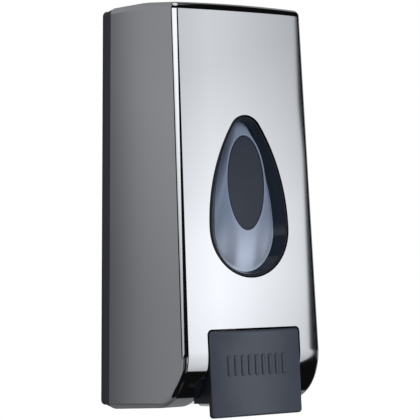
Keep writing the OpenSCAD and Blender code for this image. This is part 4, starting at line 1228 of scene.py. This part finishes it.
class MakeStage(bpy.types.Operator):
    """Makes the floor, the soft studio light and the camera"""

    bl_idname = "dispenser.stage"
    bl_label = "Stage"

    SUN_SPREAD = math.radians(50)
    SHELL_R = 40.0
    FLOOR_Z = -0.3
    YAW = math.radians(36.5)
    DISTANCE, ASIDE, LOWER = 1.095, 0.022, 0.00065
    FOCAL_PX, FRAME_PX, SENSOR = 2020.0, 420.0, 36.0

    # The panels: stops of a place in degrees and the level there, and the light and tint of all
    KEY_ACROSS = (25.6, 0), (26.4, 0.84), (28.5, 0.9), (32.5, 1), (36, 0.95), (40, 0.85), (47.5, 0.68)
    KEY_UP = (
        *((-30, 0), (-29.4, 0.45), (-16, 0.68), (2.7, 0.89), (3.5, 0.96), (4.6, 1.03), (6.4, 1.02)),
        *((7.6, 0.91), (10.1, 0.745), (11.3, 0.67), (16, 0.65), (17, 0)),
    )
    KEY_EDGE = (-30, 2.5), (-5, 0.3), (2, -0.4), (4, 0.1), (7.9, 0.93), (9.4, 0.75), (12, 1.4)
    SIDE_UP = (3.2, 0.45), (4.4, 0.5), (6, 0.67), (7.9, 0.78), (9.6, 0.92), (11, 1)
    DIP = (
        *((139.5, 0), (141, 0.04), (142.3, 0.14), (143.4, 0.3), (144.3, 0.46), (146, 0.7)),
        *((152, 0.25), (200, 0.2)),
    )
    BEHIND_UP = (
        *((-60, 0.1), (-45, 0.15), (-20, 0.17), (-4.2, 0.19), (-1.7, 0.198), (1.2, 0.23), (4, 0.253)),
        *((6, 0.24), (46, 0.22), (52, 0)),
    )
    LEFT_ACROSS = (-78, 0.22), (-70, 0.07), (-42, 0.05), (-36, 0)
    DARK, TINT = 0.004, (0.965, 0.99, 1.035)

    def execute(self, context):
        scene = context.scene
        scene.view_settings.view_transform = "Standard"
        self.world(scene)
        self.surround()
        self.floor()
        self.sun(scene, "key", (0.25, -1.0, 0.8), 0.75)
        self.sun(scene, "fill", (0.8, 0.5, 1.0), 0.45)
        self.camera(scene)
        return {"FINISHED"}

    def seen(self, nodes):
        """1 for what the camera, gloss and glass see."""
        path = nodes.add("ShaderNodeLightPath")
        names = ("Is Camera Ray", "Is Glossy Ray", "Is Transmission Ray")
        camera, gloss, glass = (Wire(nodes.tree, path.outputs[name]) for name in names)
        return camera.math("MAXIMUM", camera, gloss.math("MAXIMUM", gloss, glass))

    def world(self, scene):
        """White where it is seen, and an even soft light for the rest."""
        world = bpy.data.worlds.new("studio")
        scene.world = world
        world.use_nodes = True
        world.node_tree.nodes.clear()
        f = Nodes(world.node_tree)
        white = f.out("ShaderNodeBackground", {"Color": (1, 1, 1, 1), "Strength": 1.0})
        soft = f.out("ShaderNodeBackground", {"Color": (0.97, 0.98, 1, 1), "Strength": 0.62})
        mixed = f.out("ShaderNodeMixShader", {0: self.seen(f), 1: soft, 2: white})
        f.add("ShaderNodeOutputWorld", {"Surface": mixed})

    def surround(self):
        """Studio panels that only gloss sees: a white one at the right front, grey ones, and dark between.

        Their places are in degrees: azimuth from the front towards +X, and height above the level.
        """
        bpy.ops.mesh.primitive_uv_sphere_add(segments=96, ring_count=48, radius=self.SHELL_R)
        shell = bpy.context.object
        shell.name = "studio_panels"
        material = bpy.data.materials.new("studio_panels")
        material.use_nodes = True
        material.node_tree.nodes.clear()
        f = Nodes(material.node_tree)
        spot = f.out("ShaderNodeTexCoord", output=3)
        x, y, z = (f.out("ShaderNodeSeparateXYZ", {"Vector": spot}, k) for k in range(3))
        azimuth = x.math("ARCTAN2", x, y * -1.0) * math.degrees(1)
        height = z.math("ARCSINE", z / self.SHELL_R) * math.degrees(1)

        def band(value, low, high, soft):
            return f.step(value, low - soft, low + soft) * (1.0 - f.step(value, high - soft, high + soft))

        def curve(value, *stops):
            """Straight pieces through stops of value and level."""
            level = stops[0][1]
            for (v0, a), (v1, b) in zip(stops, stops[1:]):
                values = {"Value": value, "From Min": v0, "From Max": v1, "To Min": 0.0, "To Max": b - a}
                level = level + f.out("ShaderNodeMapRange", values, interpolation_type="LINEAR")
            return level

        key = curve(azimuth, *self.KEY_ACROSS) * curve(height, *self.KEY_UP)
        key = key * (1.0 - f.step(azimuth - curve(height, *self.KEY_EDGE), 46.2, 46.6))
        side = f.step(azimuth, -92.5, -89.5) * (1.0 - f.step(azimuth - 5.0 * height, -72.0, -68.0))
        side = side * band(height, -14.0, 17.0, 1.0) * curve(azimuth, (-92, 0.62), (-76, 1))
        side = side * curve(height, *self.SIDE_UP)
        far = abs(azimuth) + curve(height, (-6, -2.14), (8, 2.85))
        dip = curve(far, *self.DIP) * (1.0 - f.step(height, 6.5, 11.0))
        behind = f.step(far, 112.0, 116.0) * (1.0 - dip) * curve(height, *self.BEHIND_UP)
        right = 0.22 * band(azimuth, 84.0, 124.0, 2.0) * band(height, -25.0, 13.0, 2.0)
        right = right + 0.25 * band(azimuth, 57.0, 84.0, 2.0) * band(height, -14.0, -2.5, 1.5)
        left = f.step(azimuth, -116.0, -112.0) * curve(azimuth, *self.LEFT_ACROSS)
        left = left * band(height, -24.0, -3.5, 2.0)
        front = band(azimuth, -13.0, 12.0, 3.0) * band(height, -34.0, -3.0, 2.5)
        front = front * curve(height, (-17, 0.1), (-11, 0.3))
        below = 0.02 * band(azimuth, -44.0, 18.0, 6.0) * (1.0 - f.step(height, -57.0, -51.0))
        above = 0.7 * f.step(height, 57.0, 62.0)
        light = key + side + left + behind + right + front + below + above + self.DARK
        red, green, blue = self.TINT
        grey = f.vector(x=light * red, y=light * green, z=light * blue)
        glow = f.out("ShaderNodeEmission", {"Color": grey, "Strength": 1.0})
        f.add("ShaderNodeOutputMaterial", {"Surface": glow})
        shell.data.materials.append(material)
        shell.visible_camera = shell.visible_diffuse = shell.visible_shadow = False
        shell.visible_transmission = shell.visible_volume_scatter = False

    def floor(self):
        """A plain pale floor below the dispenser, topped up to white where the camera sees it."""
        bpy.ops.mesh.primitive_plane_add(size=30, location=(0, 0, self.FLOOR_Z))
        floor = bpy.context.object
        floor.name = "floor"
        f = Finish("pale_floor", roughness=0.9, base_color=(0.92, 0.92, 0.92, 1.0), specular_ior_level=0.0)
        lift = f.out("ShaderNodeEmission", {"Color": (1, 1, 1, 1), "Strength": 1.1})
        pale = f.out("ShaderNodeMixShader", {0: 0.7 * self.seen(f), 1: f.wire(f.surface), 2: lift})
        f.tree.links.new(pale.socket, f.output.inputs["Surface"])
        floor.data.materials.append(f.material)
        floor.visible_glossy = False

    def sun(self, scene, name, towards, strength):
        """A wide soft lamp that lights evenly from one direction."""
        data = bpy.data.lights.new(name, "SUN")
        data.energy, data.angle = strength, self.SUN_SPREAD
        lamp = bpy.data.objects.new(name, data)
        lamp.rotation_euler = Vector(towards).to_track_quat("Z", "Y").to_euler()
        lamp.visible_glossy = lamp.visible_camera = False
        scene.collection.objects.link(lamp)

    def camera(self, scene):
        """Camera at the photograph's angle."""
        data = bpy.data.cameras.new("camera")
        data.sensor_width = self.SENSOR
        data.lens = self.FOCAL_PX / self.FRAME_PX * self.SENSOR
        data.clip_start, data.clip_end = 0.05, 50
        camera = bpy.data.objects.new("camera", data)
        look = Vector((math.sin(self.YAW), math.cos(self.YAW), 0))
        right = Vector((math.cos(self.YAW), -math.sin(self.YAW), 0))
        camera.location = -self.DISTANCE * look + self.ASIDE * right - Vector((0, 0, self.LOWER))
        camera.rotation_euler = look.to_track_quat("-Z", "Y").to_euler()
        scene.collection.objects.link(camera)
        scene.camera = camera


MAKERS = (MakeCover, MakeWindow, MakeLever, MakePlate, MakeTank, MakePump, MakeHardware, MakeStage)


class DispenserPanel(bpy.types.Panel):
    """Lists the dispenser's pieces and sizes"""

    bl_idname = "VIEW3D_PT_dispenser"
    bl_label = "Soap dispenser"
    bl_space_type = "VIEW_3D"
    bl_region_type = "UI"
    bl_category = "Dispenser"

    def draw(self, context):
        for maker in MAKERS:
            self.layout.operator(maker.bl_idname)
        for group in GROUPS:
            values = getattr(context.scene, group)
            box = self.layout.box()
            for key in values.bl_rna.properties.keys():
                if key not in ("rna_type", "name"):
                    box.prop(values, key)


GROUPS = {
    "dispenser_cover": CoverSizes,
    "dispenser_window": WindowSizes,
    "dispenser_lever": LeverSizes,
    "dispenser_spring": SpringSizes,
    "dispenser_finish": Finishes,
}


def register():
    for group in GROUPS.values():
        bpy.utils.register_class(group)
    for name, group in GROUPS.items():
        setattr(bpy.types.Scene, name, PointerProperty(type=group))
    for made in (*MAKERS, DispenserPanel):
        bpy.utils.register_class(made)


def unregister():
    for made in (DispenserPanel, *reversed(MAKERS)):
        bpy.utils.unregister_class(made)
    for name, group in reversed(GROUPS.items()):
        delattr(bpy.types.Scene, name)
        bpy.utils.unregister_class(group)


def main():
    register()
    for maker in MAKERS:
        group, name = maker.bl_idname.split(".")
        getattr(getattr(bpy.ops, group), name)()


if __name__ == "__main__":
    main()
